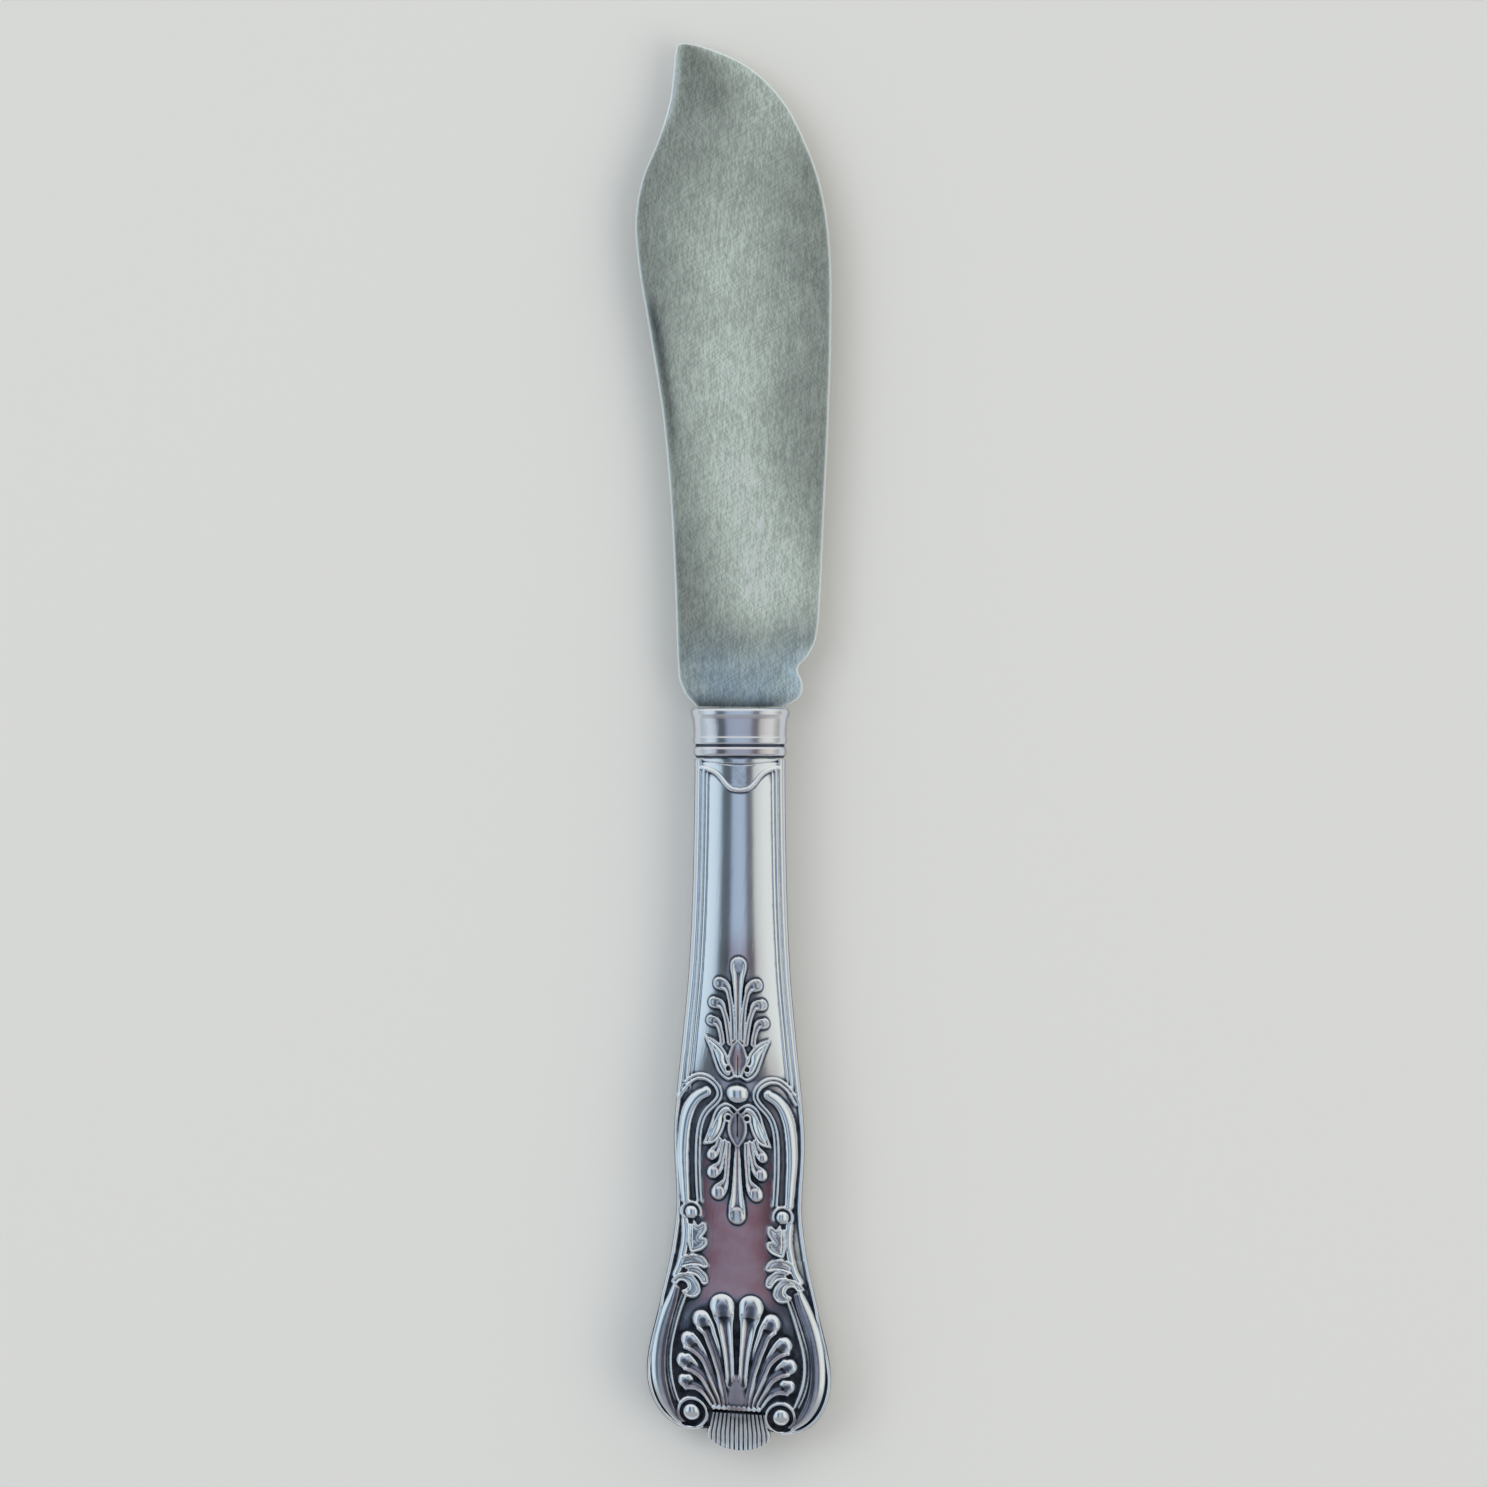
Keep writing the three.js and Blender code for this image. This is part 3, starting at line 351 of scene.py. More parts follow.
def half_width(from_butt):
    """Half width of the handle: the round of the butt is a quarter ellipse, and the sides are a smooth curve
    through the waist, the shoulder at the scrolls and the neck."""
    butt = bpy.context.scene.knife_handle.butt_half_width / MM
    down = np.clip((BUTT_WIDEST - from_butt) / (BUTT_WIDEST - BUTT_FOOT), 0, 1)
    rounded = VOLUTE_UNDERSIDE + (butt - VOLUTE_UNDERSIDE) * np.sqrt(1 - down * down)
    neck_end = HANDLE_LENGTH - NECK
    sides = smooth_through([
        (BUTT_WIDEST, butt), (18.1, 9.78), (24.5, 8.4), (30.6, 7.75), (38.5, 8.1), (44, 7.75), (51, 7.05),
        (61, 6.2), (neck_end - 14.5, 5.8), (neck_end, 5.6),
    ], from_butt)
    return np.where(from_butt < BUTT_WIDEST, rounded, sides)


def half_thickness(from_butt):
    """Half thickness of the handle on its axis, without relief."""
    return smooth_through([
        (0, 1.6), (BUTT_FOOT, 2.15), (BUTT_WIDEST / 2, 3.15), (BUTT_WIDEST, 3.95), (BUTT_WIDEST + 6, 4.05),
        (40, 3.875), (HANDLE_LENGTH - NECK - 20, 3.7),
    ], from_butt)


def ground(x, from_butt, reach):
    """Height of the smooth ground over the seam: an upright side, then a parabola across the width."""
    thick = half_thickness(from_butt)
    edge = smooth_through([(EDGE_WALL_FROM, BUTT_EDGE_WALL), (EDGE_WALL_TO, NECK_EDGE_WALL)], from_butt)
    side = np.minimum(edge, 0.8 * thick)
    across = np.clip(np.abs(x) / reach, 0, 1)
    return side + (thick - side) * (1 - across * across)


def inset_from_edge(x, from_butt, reach):
    """Distance in from the outline: sideways along the handle, and from the ellipse round the butt."""
    butt = bpy.context.scene.knife_handle.butt_half_width / MM
    wide = np.clip(np.abs(x) - VOLUTE_UNDERSIDE, 0, None) / (butt - VOLUTE_UNDERSIDE)
    down = np.clip(BUTT_WIDEST - from_butt, 0, None) / (BUTT_WIDEST - BUTT_FOOT)
    ring = np.hypot(wide, down)
    pull = np.hypot(wide / (butt - VOLUTE_UNDERSIDE), down / (BUTT_WIDEST - BUTT_FOOT))
    rounded = (1 - ring) * np.maximum(ring, 1e-6) / np.maximum(pull, 1e-6)
    return np.where(from_butt < BUTT_WIDEST - 0.01, rounded, reach - np.abs(x))


# Struck ornament: right-hand half, as (from the axis, below the collar's mouth) in millimetres

PEARL = (0.0, 47.75)
# Each side drop of a fan from its root to its head, with the head's radius
UPPER_DROPS = [
    ([(0.6, 41.0), (0.72, 38.0), (1.0, 36.0), (1.55, 34.5), (2.3, 34.2)], 0.78),
    ([(1.0, 41.5), (1.2, 40.0), (1.6, 38.0), (2.2, 36.75), (2.95, 36.6)], 0.72),
    ([(1.9, 41.5), (2.1, 40.2), (2.6, 39.05), (3.27, 38.85)], 0.66),
]
# Middle drop of a fan, from its head to its root: the place along the axis and the half width
UPPER_MIDDLE = [(31.85, 1.06), (33.3, 0.8), (36.0, 0.52), (38.7, 0.36), (41.0, 0.26)]
LOWER_DROPS = [
    ([(2.2, 53.6), (2.5, 54.5), (3.15, 55.45)], 0.68),
    ([(1.55, 53.8), (1.85, 55.4), (2.25, 56.8), (3.0, 57.6)], 0.8),
    ([(1.1, 54.0), (1.25, 56.8), (1.5, 58.7), (2.35, 60.05)], 0.9),
]
LOWER_MIDDLE = [(62.75, 1.12), (61.7, 1.05), (60.3, 0.82), (58.2, 0.6), (56.0, 0.46), (54.2, 0.32)]
# Curled leaf: its outline, the lines along it, its pierced eye, and the side of the edge that is cut
UPPER_LEAF = {
    "blade": [
        (3.95, 40.85), (3.35, 42.4), (2.85, 43.9), (2.4, 45.0), (1.7, 45.8), (1.1, 45.95), (0.75, 45.2),
        (0.95, 44.3), (1.35, 43.8), (1.45, 42.9), (2.05, 42.0), (2.9, 41.3),
    ],
    "edge": [(3.9, 40.95), (3.25, 42.45), (2.75, 43.9), (2.3, 45.0), (1.7, 45.7), (1.1, 45.95), (0.5, 45.65)],
    "rib": [(3.45, 41.45), (2.85, 42.5), (2.35, 43.8), (1.95, 44.7), (1.5, 45.25), (1.05, 45.35)],
    "lip": [(3.8, 40.95), (2.9, 41.35), (2.05, 42.05), (1.45, 42.95), (1.3, 43.7), (0.85, 44.3)],
    "eye": (1.15, 44.65),
    "turn": 1,
}
LOWER_LEAF = {
    "blade": [
        (4.15, 54.15), (3.6, 52.6), (3.15, 51.3), (2.75, 50.1), (2.2, 49.35), (1.4, 49.0), (0.6, 49.35),
        (1.0, 50.1), (1.6, 50.7), (1.75, 51.6), (2.3, 53.1), (3.0, 53.9),
    ],
    "edge": [
        (4.1, 54.1), (3.6, 52.7), (3.12, 51.3), (2.72, 50.15), (2.15, 49.4), (1.4, 49.05), (0.65, 49.3),
        (0.15, 49.75),
    ],
    "rib": [(3.55, 53.2), (3.05, 52.1), (2.6, 51.0), (2.2, 50.2), (1.7, 49.75), (1.1, 49.75), (0.6, 50.2)],
    "lip": [(4.0, 54.1), (3.0, 53.85), (2.3, 53.1), (1.85, 52.2), (1.6, 51.3), (1.5, 50.9)],
    "eye": (1.15, 50.75),
    "turn": -1,
}
UPPER_BUD = [
    (0.0, 41.2), (0.55, 41.7), (0.95, 42.6), (1.12, 43.5), (1.0, 44.2), (0.65, 44.9), (0.35, 45.6),
    (0.0, 45.6),
]
LOWER_BUD = [
    (0.0, 50.0), (0.5, 50.5), (0.95, 51.2), (1.1, 51.9), (1.0, 52.7), (0.65, 53.5), (0.25, 54.1), (0.0, 54.3),
]
# Each fan: its side drops, middle drop and leaf, and the height of the drops' heads
FANS = (
    (UPPER_DROPS, UPPER_MIDDLE, UPPER_LEAF, 0.36),
    (LOWER_DROPS, LOWER_MIDDLE, LOWER_LEAF, 0.54),
)
DROP_ROOT = 0.34
# Each bud: its outline, the ends of its slit, and how dark its floor is
BUDS = ((UPPER_BUD, (43.2, 45.6), 0.2), (LOWER_BUD, (50.3, 53.0), 0.45))
HAIRPIN = [
    (7.2, 48.7), (6.4, 47.35), (5.75, 46.65), (4.9, 46.15), (4.1, 46.15), (3.25, 46.55), (2.65, 47.2),
    (2.45, 47.9), (2.75, 48.6), (3.3, 49.2), (3.95, 49.9), (4.5, 50.8), (4.85, 51.9), (5.05, 53.3),
    (5.12, 55.0), (5.12, 57.0), (5.05, 59.0), (4.9, 61.3),
]
UPPER_ROLL = [
    (3.8, 47.7), (4.85, 48.3), (5.75, 49.4), (6.32, 50.8), (6.6, 52.4), (6.74, 54.2), (6.76, 56.0),
    (6.64, 58.0), (6.5, 60.0), (6.42, 61.2),
]
# Half width of the roll, by the share of its length
UPPER_ROLL_HALF = [(0, 0.66), (0.25, 0.84), (0.6, 0.8), (1, 0.62)]
SIDE_BEAD = (5.65, 62.68)
SIDE_BAND = [(6.5, 63.6), (6.4, 65.0), (6.45, 66.5), (6.75, 68.0), (7.2, 69.6), (7.7, 70.6)]
SIDE_LEAF = [
    (5.33, 63.85), (4.83, 64.42), (4.33, 64.04), (3.95, 64.11), (3.85, 64.55), (4.1, 65.22), (4.6, 65.9),
    (4.15, 65.87), (3.8, 66.1), (3.8, 66.5), (4.25, 67.08), (4.95, 67.42), (5.65, 67.57), (5.83, 66.88),
    (5.88, 65.38), (5.83, 64.28),
]
SIDE_LEAF_VEINS = [
    [(5.5, 64.6), (4.95, 65.0), (4.35, 64.6)], [(5.55, 66.2), (5.0, 66.65), (4.3, 66.4)],
]
SIDE_PLUMES = [
    [
        (6.93, 68.55), (6.23, 68.15), (5.33, 67.95), (4.43, 68.14), (3.83, 68.65), (3.63, 69.24),
        (4.03, 69.42), (4.53, 69.25), (5.13, 69.18), (5.93, 69.28), (6.63, 69.53),
    ],
    [
        (6.33, 69.66), (5.53, 69.46), (4.73, 69.61), (4.13, 70.07), (3.68, 70.74), (3.73, 71.35),
        (4.13, 71.47), (4.48, 70.99), (4.93, 70.52), (5.63, 70.27), (6.23, 70.25),
    ],
]
SIDE_PLUME_VEINS = [
    [(6.5, 68.87), (5.33, 68.55), (4.43, 68.79), (3.98, 69.2)],
    [(5.93, 69.93), (5.03, 69.98), (4.33, 70.49), (3.98, 71.1)],
]
CURL = [
    (8.13, 71.52), (7.33, 70.67), (6.53, 70.37), (5.73, 70.52), (5.03, 71.08), (4.63, 71.8), (4.68, 72.61),
    (5.13, 73.08), (5.73, 73.17), (6.43, 72.92), (6.78, 72.54), (6.33, 72.31), (6.03, 72.09), (6.08, 71.59),
    (6.43, 71.27), (7.03, 71.2), (7.63, 71.69),
]
CURL_KNOB = (6.45, 72.55)
LOWER_ROLL = [
    (7.75, 72.2), (8.16, 73.4), (8.83, 75.2), (9.43, 77.2), (9.82, 79.2), (9.98, 81.3), (9.9, 83.2),
    (9.48, 85.2), (8.82, 86.8), (7.95, 88.1), (6.98, 89.0),
]
# Half width of the roll, at even shares of its length
LOWER_ROLL_HALF = [0.5, 0.74, 0.86, 0.9, 0.92, 0.94, 0.94, 0.88, 0.76, 0.52, 0.3]
LOWER_THREAD = [
    (6.3, 73.0), (7.12, 75.3), (7.74, 77.5), (8.18, 79.5), (8.3, 81.2), (8.18, 82.9), (7.85, 84.4),
    (7.25, 86.1),
]
VOLUTE = (5.57, 87.55)
# Middle lobe of the scallop shell from its head to its foot, with the half width
SCALLOP_MIDDLE = [
    (1.8, 74.1, 1.52), (1.7, 74.9, 1.42), (1.5, 76.05, 1.12), (1.33, 77.33, 0.95), (1.02, 79.8, 0.72),
    (0.85, 82.0, 0.63), (0.77, 83.8, 0.54),
]
# Each side lobe: its head, the head's radius, the lower rim and the upper rim
SCALLOP_SIDES = [
    ((4.31, 75.9), 1.17,
     [(4.75, 76.95), (3.94, 77.74), (3.56, 78.7), (3.07, 79.93), (2.7, 81.15), (2.32, 82.36), (2.07, 83.6),
      (1.83, 84.8), (1.6, 86.3)],
     [(3.44, 75.85), (3.07, 76.57), (2.7, 77.67), (2.45, 78.4), (2.2, 79.25), (1.95, 80.5)]),
    ((5.92, 78.5), 1.04,
     [(6.4, 79.45), (5.68, 79.7), (4.81, 80.3), (4.19, 81.0), (3.69, 82.1), (3.19, 83.3), (2.7, 84.5),
      (2.2, 85.7), (2.05, 86.3)],
     [(5.43, 77.9), (4.93, 78.4), (4.43, 79.15), (3.94, 80.0), (3.5, 80.9)]),
    ((6.55, 81.1), 1.0,
     [(6.4, 82.1), (5.43, 82.4), (4.56, 83.0), (3.94, 83.8), (3.44, 84.7), (2.94, 85.6), (2.6, 86.3)],
     [(5.92, 80.5), (5.3, 81.1), (4.75, 81.75)]),
    ((6.42, 83.6), 0.87,
     [(6.3, 84.45), (5.43, 84.4), (4.56, 84.7), (4.06, 85.15), (3.6, 85.75), (3.2, 86.35)],
     [(5.9, 83.1), (5.35, 83.4)]),
]
TAB = [(4.75, 7.35), (3.9, 7.6), (3.0, 8.05), (2.35, 8.7), (1.75, 9.45), (1.1, 9.98), (0.0, 10.2)]
SMILE = [(5.3, 6.6), (4.0, 6.68), (2.5, 6.85), (1.2, 6.95), (0.0, 7.0)]
SCALLOP_FOOT = [(83.2, 0.9), (86.4, 1.6)]  # places along the axis, with the half width
BEAD_ROW = 86.75
BEAD_STEP = 0.62
BEADS = 5  # on each side of the axis
BEAD_GROOVE = [(0.0, 87.2), (3.4, 87.2)]
TAIL_TOP = 87.35

# Section of a stroke, as the power of its rounding: broad with a level top, half round, soft, or a fine crest
BROAD, ROUND, SOFT, CREST = 0.35, 0.5, 0.6, 0.8


def stroke_place(x, along, path, half, height):
    """For each point, the square of its distance from the path over the half width there, and the height
    there, both at the stretch of the path where the first is least. Width and height change evenly along a
    stretch."""
    start, run = path[:-1], np.diff(path, axis=0)
    length = np.maximum((run ** 2).sum(1), 1e-9)
    dx, dy = x[:, None] - start[:, 0], along[:, None] - start[:, 1]
    t = np.clip((dx * run[:, 0] + dy * run[:, 1]) / length, 0, 1)
    off = (dx - t * run[:, 0]) ** 2 + (dy - t * run[:, 1]) ** 2
    share = off / (half[:-1] + t * np.diff(half)) ** 2
    tall = height[:-1] + t * np.diff(height)
    nearest = share.argmin(1)[:, None]
    return np.take_along_axis(share, nearest, 1)[:, 0], np.take_along_axis(tall, nearest, 1)[:, 0]


def inside_outline(x, along, ring):
    """Whether each point lies inside a closed outline, by the parity of the sides that it has to its left."""
    start, end = ring[:-1], ring[1:]
    spans = (start[:, 1] > along[:, None]) != (end[:, 1] > along[:, None])
    rise = np.where(end[:, 1] == start[:, 1], 1.0, end[:, 1] - start[:, 1])
    cross = start[:, 0] + (along[:, None] - start[:, 1]) * (end[:, 0] - start[:, 0]) / rise
    return (spans & (x[:, None] < cross)).sum(1) % 2 == 1


def distance_to_line(x, y, line):
    """Distance from each point to a polyline, by the nearest point of each of its stretches. The points are
    taken a few thousand at a time."""
    start, run = line[:-1], np.diff(line, axis=0)
    length = np.maximum((run ** 2).sum(1), 1e-12)
    result = np.empty(x.size)
    flat_x, flat_y = x.ravel(), y.ravel()
    for part in np.array_split(np.arange(x.size), max(1, x.size // 4000)):
        dx = flat_x[part, None] - start[:, 0]
        dy = flat_y[part, None] - start[:, 1]
        t = np.clip((dx * run[:, 0] + dy * run[:, 1]) / length, 0, 1)
        result[part] = np.sqrt(((dx - t * run[:, 0]) ** 2 + (dy - t * run[:, 1]) ** 2).min(1))
    return result.reshape(x.shape)


class Relief:
    """Height over the ground at every point of a grid, built up from strokes, spoons, domes and level panels,
    with the tarnish and the mauve tint, partly thin film and partly painted reflection, that lie along them.
    Both sides of the axis are alike."""

    def __init__(self, x, along):
        self.x = np.abs(x)
        self.along = along
        self.height = np.zeros_like(x)
        self.tarnish = np.zeros_like(x)
        self.mauve = np.zeros_like(x)

    def window(self, path, margin):
        """Which points lie in the box round a path, or within a margin of it."""
        low, high = path.min(0) - margin, path.max(0) + margin
        return (self.x >= low[0]) & (self.x <= high[0]) & (self.along >= low[1]) & (self.along <= high[1])

    def place(self, path, half, height):
        """Which points lie near a stroke, and the place of each on it, as stroke_place gives it."""
        half = np.broadcast_to(np.asarray(half, float), len(path))
        height = np.broadcast_to(np.asarray(height, float), len(path))
        near = self.window(path, half.max())
        return near, *stroke_place(self.x[near], self.along[near], path, half, height)

    def measure(self, path, half, height, power):
        """Rounded stroke: its height times (1 - (distance from the path / half width) squared) to a power."""
        near, share, tall = self.place(path, half, height)
        return near, tall * np.clip(1 - share, 0, None) ** power

    def add(self, path, half, height, power=SOFT):
        """Raises a stroke: the higher of the stroke and what is there stays."""
        near, rise = self.measure(path, half, height, power)
        self.height[near] = np.maximum(self.height[near], rise)

    def spoon(self, path, half, height):
        """Raises a stroke with a rounded rim and a hollow middle, whose floor is at half its height."""
        near, share, tall = self.place(path, half, height)
        rise = tall * np.sqrt(np.clip(1 - share ** 2, 0, None)) * (0.5 + 1.17 * share)
        self.height[near] = np.maximum(self.height[near], rise)

    def cut(self, path, half, depth, power=SOFT):
        """Sinks a stroke into what is there."""
        near, drop = self.measure(path, half, depth, power)
        self.height[near] -= drop

    def coat(self, film, path, half, amount):
        """Lays the tarnish or the mauve tint, partly thin film and partly painted reflection, along a stroke,
        strongest in its middle.
        """
        near, strength = self.measure(path, half, amount, CREST)
        film[near] = np.maximum(film[near], strength)

    def plateau(self, outline, height, soft):
        """Raises a level panel inside a closed outline, with a soft shoulder along its edge."""
        ring = np.vstack([outline, outline[:1]])
        near = self.window(ring, 0.0)
        x, along = self.x[near], self.along[near]
        inside = inside_outline(x, along, ring)
        depth = distance_to_line(x, along, ring)
        rise = np.where(inside, height * ease_between(-0.2 * soft, soft, depth), 0.0)
        self.height[near] = np.maximum(self.height[near], rise)

    def dome(self, centre, half_wide, half_long, height, power=0.55):
        """Raises an elliptical dome."""
        off = ((self.x - centre[0]) / half_wide) ** 2 + ((self.along - centre[1]) / half_long) ** 2
        self.height = np.maximum(self.height, height * np.clip(1 - off, 0, None) ** power)

    def head(self, centre, radius, toward):
        """Raises a round head with a tarnished hollow that opens towards a point."""
        self.dome(centre, 1.02 * radius, 1.02 * radius, 0.56, 0.58)
        way = (np.array(toward) - centre) / np.hypot(*(np.array(toward) - centre))
        hollow = np.array([centre + 0.1 * radius * way, centre + 0.55 * radius * way])
        self.cut(hollow, 0.48 * radius, 0.14, CREST)
        self.coat(self.tarnish, hollow, 0.5 * radius, 0.72)
        self.coat(self.mauve, hollow, 0.5 * radius, 0.6)

    def drop(self, path, half, height, crown):
        """Raises a drop of a fan: a spoon with a round head at the start of its path, as high as the crown.
        The higher the head, the less tarnish lies on it."""
        self.dome(path[0], half[0], half[0], crown, BROAD)
        self.spoon(path, half, height * np.linspace(0.95, 0.85, len(path)))
        self.coat(self.tarnish, path, 0.66 * half, np.linspace(0.75 * (0.8 - crown), 0.26, len(path)))
        self.coat(self.mauve, path, 0.55 * half, np.linspace(0.3, 0.8, len(path)))


def spiral(centre, first, last, start, end, count=70):
    """Points round a centre between two angles in degrees, from outwards through downwards, while the radius
    goes evenly from first to last."""
    angle = np.radians(np.linspace(start, end, count))
    radius = np.linspace(first, last, count)
    return np.stack([centre[0] + radius * np.cos(angle), centre[1] + radius * np.sin(angle)], axis=1)


def arc(centre, radius, start, end):
    """Points round a centre between two angles in degrees, from outwards through downwards."""
    return spiral(centre, radius, radius, start, end, 36)


def on_axis(*places):
    """Path along the handle's axis."""
    return np.array([(0.0, place) for place in places])


def closed_curve(points, count=90):
    """Smooth closed outline through points: an open curve that goes on past both ends is cut where it comes
    nearest to the first point."""
    ring = [points[-2], points[-1], *points, points[0], points[1]]
    path = curve_through(ring, 4 * count)
    first = int(np.argmin(np.hypot(*(path[:2 * count] - points[0]).T)))
    last = 2 * count + int(np.argmin(np.hypot(*(path[2 * count:] - points[0]).T)))
    return path[first:last]


def strike_leaf(relief, leaf):
    """A curled leaf: a level blade, a double line along its outer edge, a lip and a pierced eye in a ring."""
    edge = curve_through(leaf["edge"])
    relief.plateau(closed_curve(leaf["blade"]), 0.4, 0.8)
    relief.cut(beside(edge, leaf["turn"] * 0.22), 0.14, 0.12)
    relief.add(edge, 0.2, 0.4, CREST)
    relief.add(curve_through(leaf["rib"]), 0.18, 0.38, CREST)
    relief.add(curve_through(leaf["lip"]), 0.18, 0.36, CREST)
    relief.add(arc(leaf["eye"], 0.42, 0, 360), 0.16, 0.34, CREST)
    relief.cut(np.array([leaf["eye"], leaf["eye"]]) + [[0, 0], [0, 0.05]], 0.3, 0.42)


def strike_bud(relief, bud, slit, dark):
    """A bud on the axis: a low swell inside a fine line, with a slit down its middle and a dark floor."""
    line = curve_through(bud, 50)
    reach = np.interp(relief.along, line[:, 1], line[:, 0])
    inside = (relief.along > bud[0][1]) & (relief.along < bud[-1][1]) & (relief.x < reach)
    swell = 1 - (relief.x / np.maximum(reach, 0.05)) ** 2
    relief.height = np.where(inside, 0.08 + 0.1 * np.clip(swell, 0, 1), relief.height)
    relief.add(line, 0.15, 0.36, CREST)
    relief.cut(on_axis(*slit), 0.13, 0.16)
    relief.coat(relief.tarnish, on_axis(bud[1][1], bud[-2][1]), 1.1, dark)


def strike_fans(relief):
    """The two anthemions about the pearl: drops round a middle drop, with leaves and a bud at their root. A
    side drop is as wide as its head at first, and narrows smoothly to its root."""
    for drops, middle, leaf, crown in FANS:
        for points, radius in drops:
            path = curve_through(points)[::-1]
            narrow = ease_between(0.2 * radius, 2.5 * radius, run_along(path))
            relief.drop(path, radius + (DROP_ROOT - radius) * narrow, 0.44, crown)
        place, width = np.array(middle).T
        path = on_axis(*np.linspace(place[0], place[-1], 40))
        from_head = np.abs(place - place[0])
        half = smooth_through(np.stack([from_head, width], axis=1), np.linspace(0, from_head[-1], 40))
        relief.drop(path, half, 0.46, crown)
        strike_leaf(relief, leaf)
    for bud in BUDS:
        strike_bud(relief, *bud)
    relief.dome(PEARL, 1.4, 1.17, 0.68)


def strike_scrolls(relief):
    """The hairpin scrolls at the shoulder and the C-scrolls at the butt, each a fat roll inside thin double
    lines, with a capped bead, a hooked curl and a volute at their ends."""
    hairpin = curve_through(HAIRPIN, 90)
    relief.add(hairpin, 0.22, 0.36, CREST)
    relief.add(beside(hairpin, 0.48), 0.19, 0.32, CREST)
    half = np.interp(np.linspace(0, 1, 60), *np.array(UPPER_ROLL_HALF).T)
    relief.add(curve_through(UPPER_ROLL, 60), half, 0.46, ROUND)
    relief.add(curve_through(SIDE_BAND), 0.5, 0.3)
    relief.add(arc(SIDE_BEAD, 1.2, 160, 395), 0.24, 0.42, CREST)
    relief.dome(SIDE_BEAD, 0.88, 0.88, 0.54)
    roll = curve_through(LOWER_ROLL, 70)
    half = np.interp(np.linspace(0, 1, 70), np.linspace(0, 1, len(LOWER_ROLL_HALF)), LOWER_ROLL_HALF)
    relief.add(roll, half, 0.38, ROUND)
    relief.add(beside(roll, 0.4), 0.78 * half, 0.28, ROUND)
    relief.coat(relief.tarnish, beside(roll, 0.6), 0.7, 0.5)
    relief.coat(relief.mauve, beside(roll, 0.6), 0.7, 0.6)
    thread = curve_through(LOWER_THREAD, 60)
    relief.add(thread, 0.23, 0.36, CREST)
    relief.add(beside(thread, -0.44), 0.17, 0.16, CREST)
    curl = closed_curve(CURL)
    relief.plateau(curl, 0.3, 0.35)
    relief.add(np.vstack([curl, curl[:1]]), 0.17, 0.42, CREST)
    relief.dome(CURL_KNOB, 0.42, 0.38, 0.5)
    relief.add(spiral(VOLUTE, 2.15, 1.55, 35, 410), 0.27, 0.46, CREST)
    relief.dome(VOLUTE, 1.12, 1.12, 0.66)


def strike_side_leaves(relief):
    """Acanthus leaves that reach in from the sides: level panels with a fine line round them and veins."""
    for outline in (SIDE_LEAF, *SIDE_PLUMES):
        relief.plateau(closed_curve(outline), 0.24, 0.4)
        relief.add(curve_through(outline, 80), 0.17, 0.42, CREST)
    for vein in (*SIDE_LEAF_VEINS, *SIDE_PLUME_VEINS):
        relief.add(curve_through(vein), 0.13, 0.3, CREST)


def strike_scallop(relief):
    """The scallop shell: a plain foot over a row of beads, two middle lobes like long spoons, and side lobes
    with round heads, a rim on each side and a tarnished floor between the rims."""
    place, half = np.array(SCALLOP_FOOT).T
    foot = on_axis(*place)
    relief.add(foot, half, np.array([0.24, 0.16]), BROAD)
    relief.coat(relief.tarnish, foot, half, np.array([0.38, 0.42]))
    relief.coat(relief.mauve, foot, half, 0.7)
    points, width = np.array(SCALLOP_MIDDLE)[:, :2], np.array(SCALLOP_MIDDLE)[:, 2]
    path = curve_through(points, 60)
    run = run_along(path)
    half = smooth_through(np.stack([run_along(points), width], axis=1), run)
    height = np.interp(run, [0, half[0], 2.2 * half[0], 8.5, run[-1]], [0.15, 0.28, 0.5, 0.46, 0.2])
    relief.spoon(path, half, height)
    relief.coat(relief.tarnish, path, 0.6 * half, 0.42)
    relief.coat(relief.mauve, path, 0.55 * half, 0.6)
    relief.head(points[0], half[0], points[2])
    for centre, radius, lower, upper in SCALLOP_SIDES:
        rim = curve_through(lower, 60)
        floor = beside(rim, 0.42)[6:]
        half = np.linspace(0.6, 0.25, len(floor))
        relief.add(floor, np.linspace(0.55, 0.2, len(floor)), 0.22, BROAD)
        relief.coat(relief.tarnish, floor, half, 0.45)
        relief.coat(relief.mauve, floor, half, 0.8)
        relief.add(rim, np.linspace(0.36, 0.22, len(rim)), np.linspace(0.48, 0.42, len(rim)), CREST)
        rim = curve_through(upper)
        relief.add(rim, np.linspace(0.44, 0.26, len(rim)), np.linspace(0.48, 0.16, len(rim)), CREST)
        relief.head(np.array(centre), radius, floor[8])
    for i in range(BEADS):
        relief.dome(((i + 0.5) * BEAD_STEP, BEAD_ROW), 0.33, 0.4, 0.46)
    relief.cut(np.array(BEAD_GROOVE), 0.16, 0.2)


def strike_tab(relief):
    """The shield-shaped tab below the collar: a low plateau inside a raised ogee line."""
    line = curve_through(TAB, 50)
    foot = np.interp(relief.x, line[::-1, 0], line[::-1, 1], right=line[0, 1])
    relief.height += 0.12 * ease_between(-0.2, 0.2, foot - relief.along)
    relief.add(line, 0.26, 0.32, CREST)
    relief.cut(curve_through(SMILE), 0.14, 0.1, CREST)
    relief.coat(relief.tarnish, on_axis(7.6, 9.2), 1.7, 0.3)


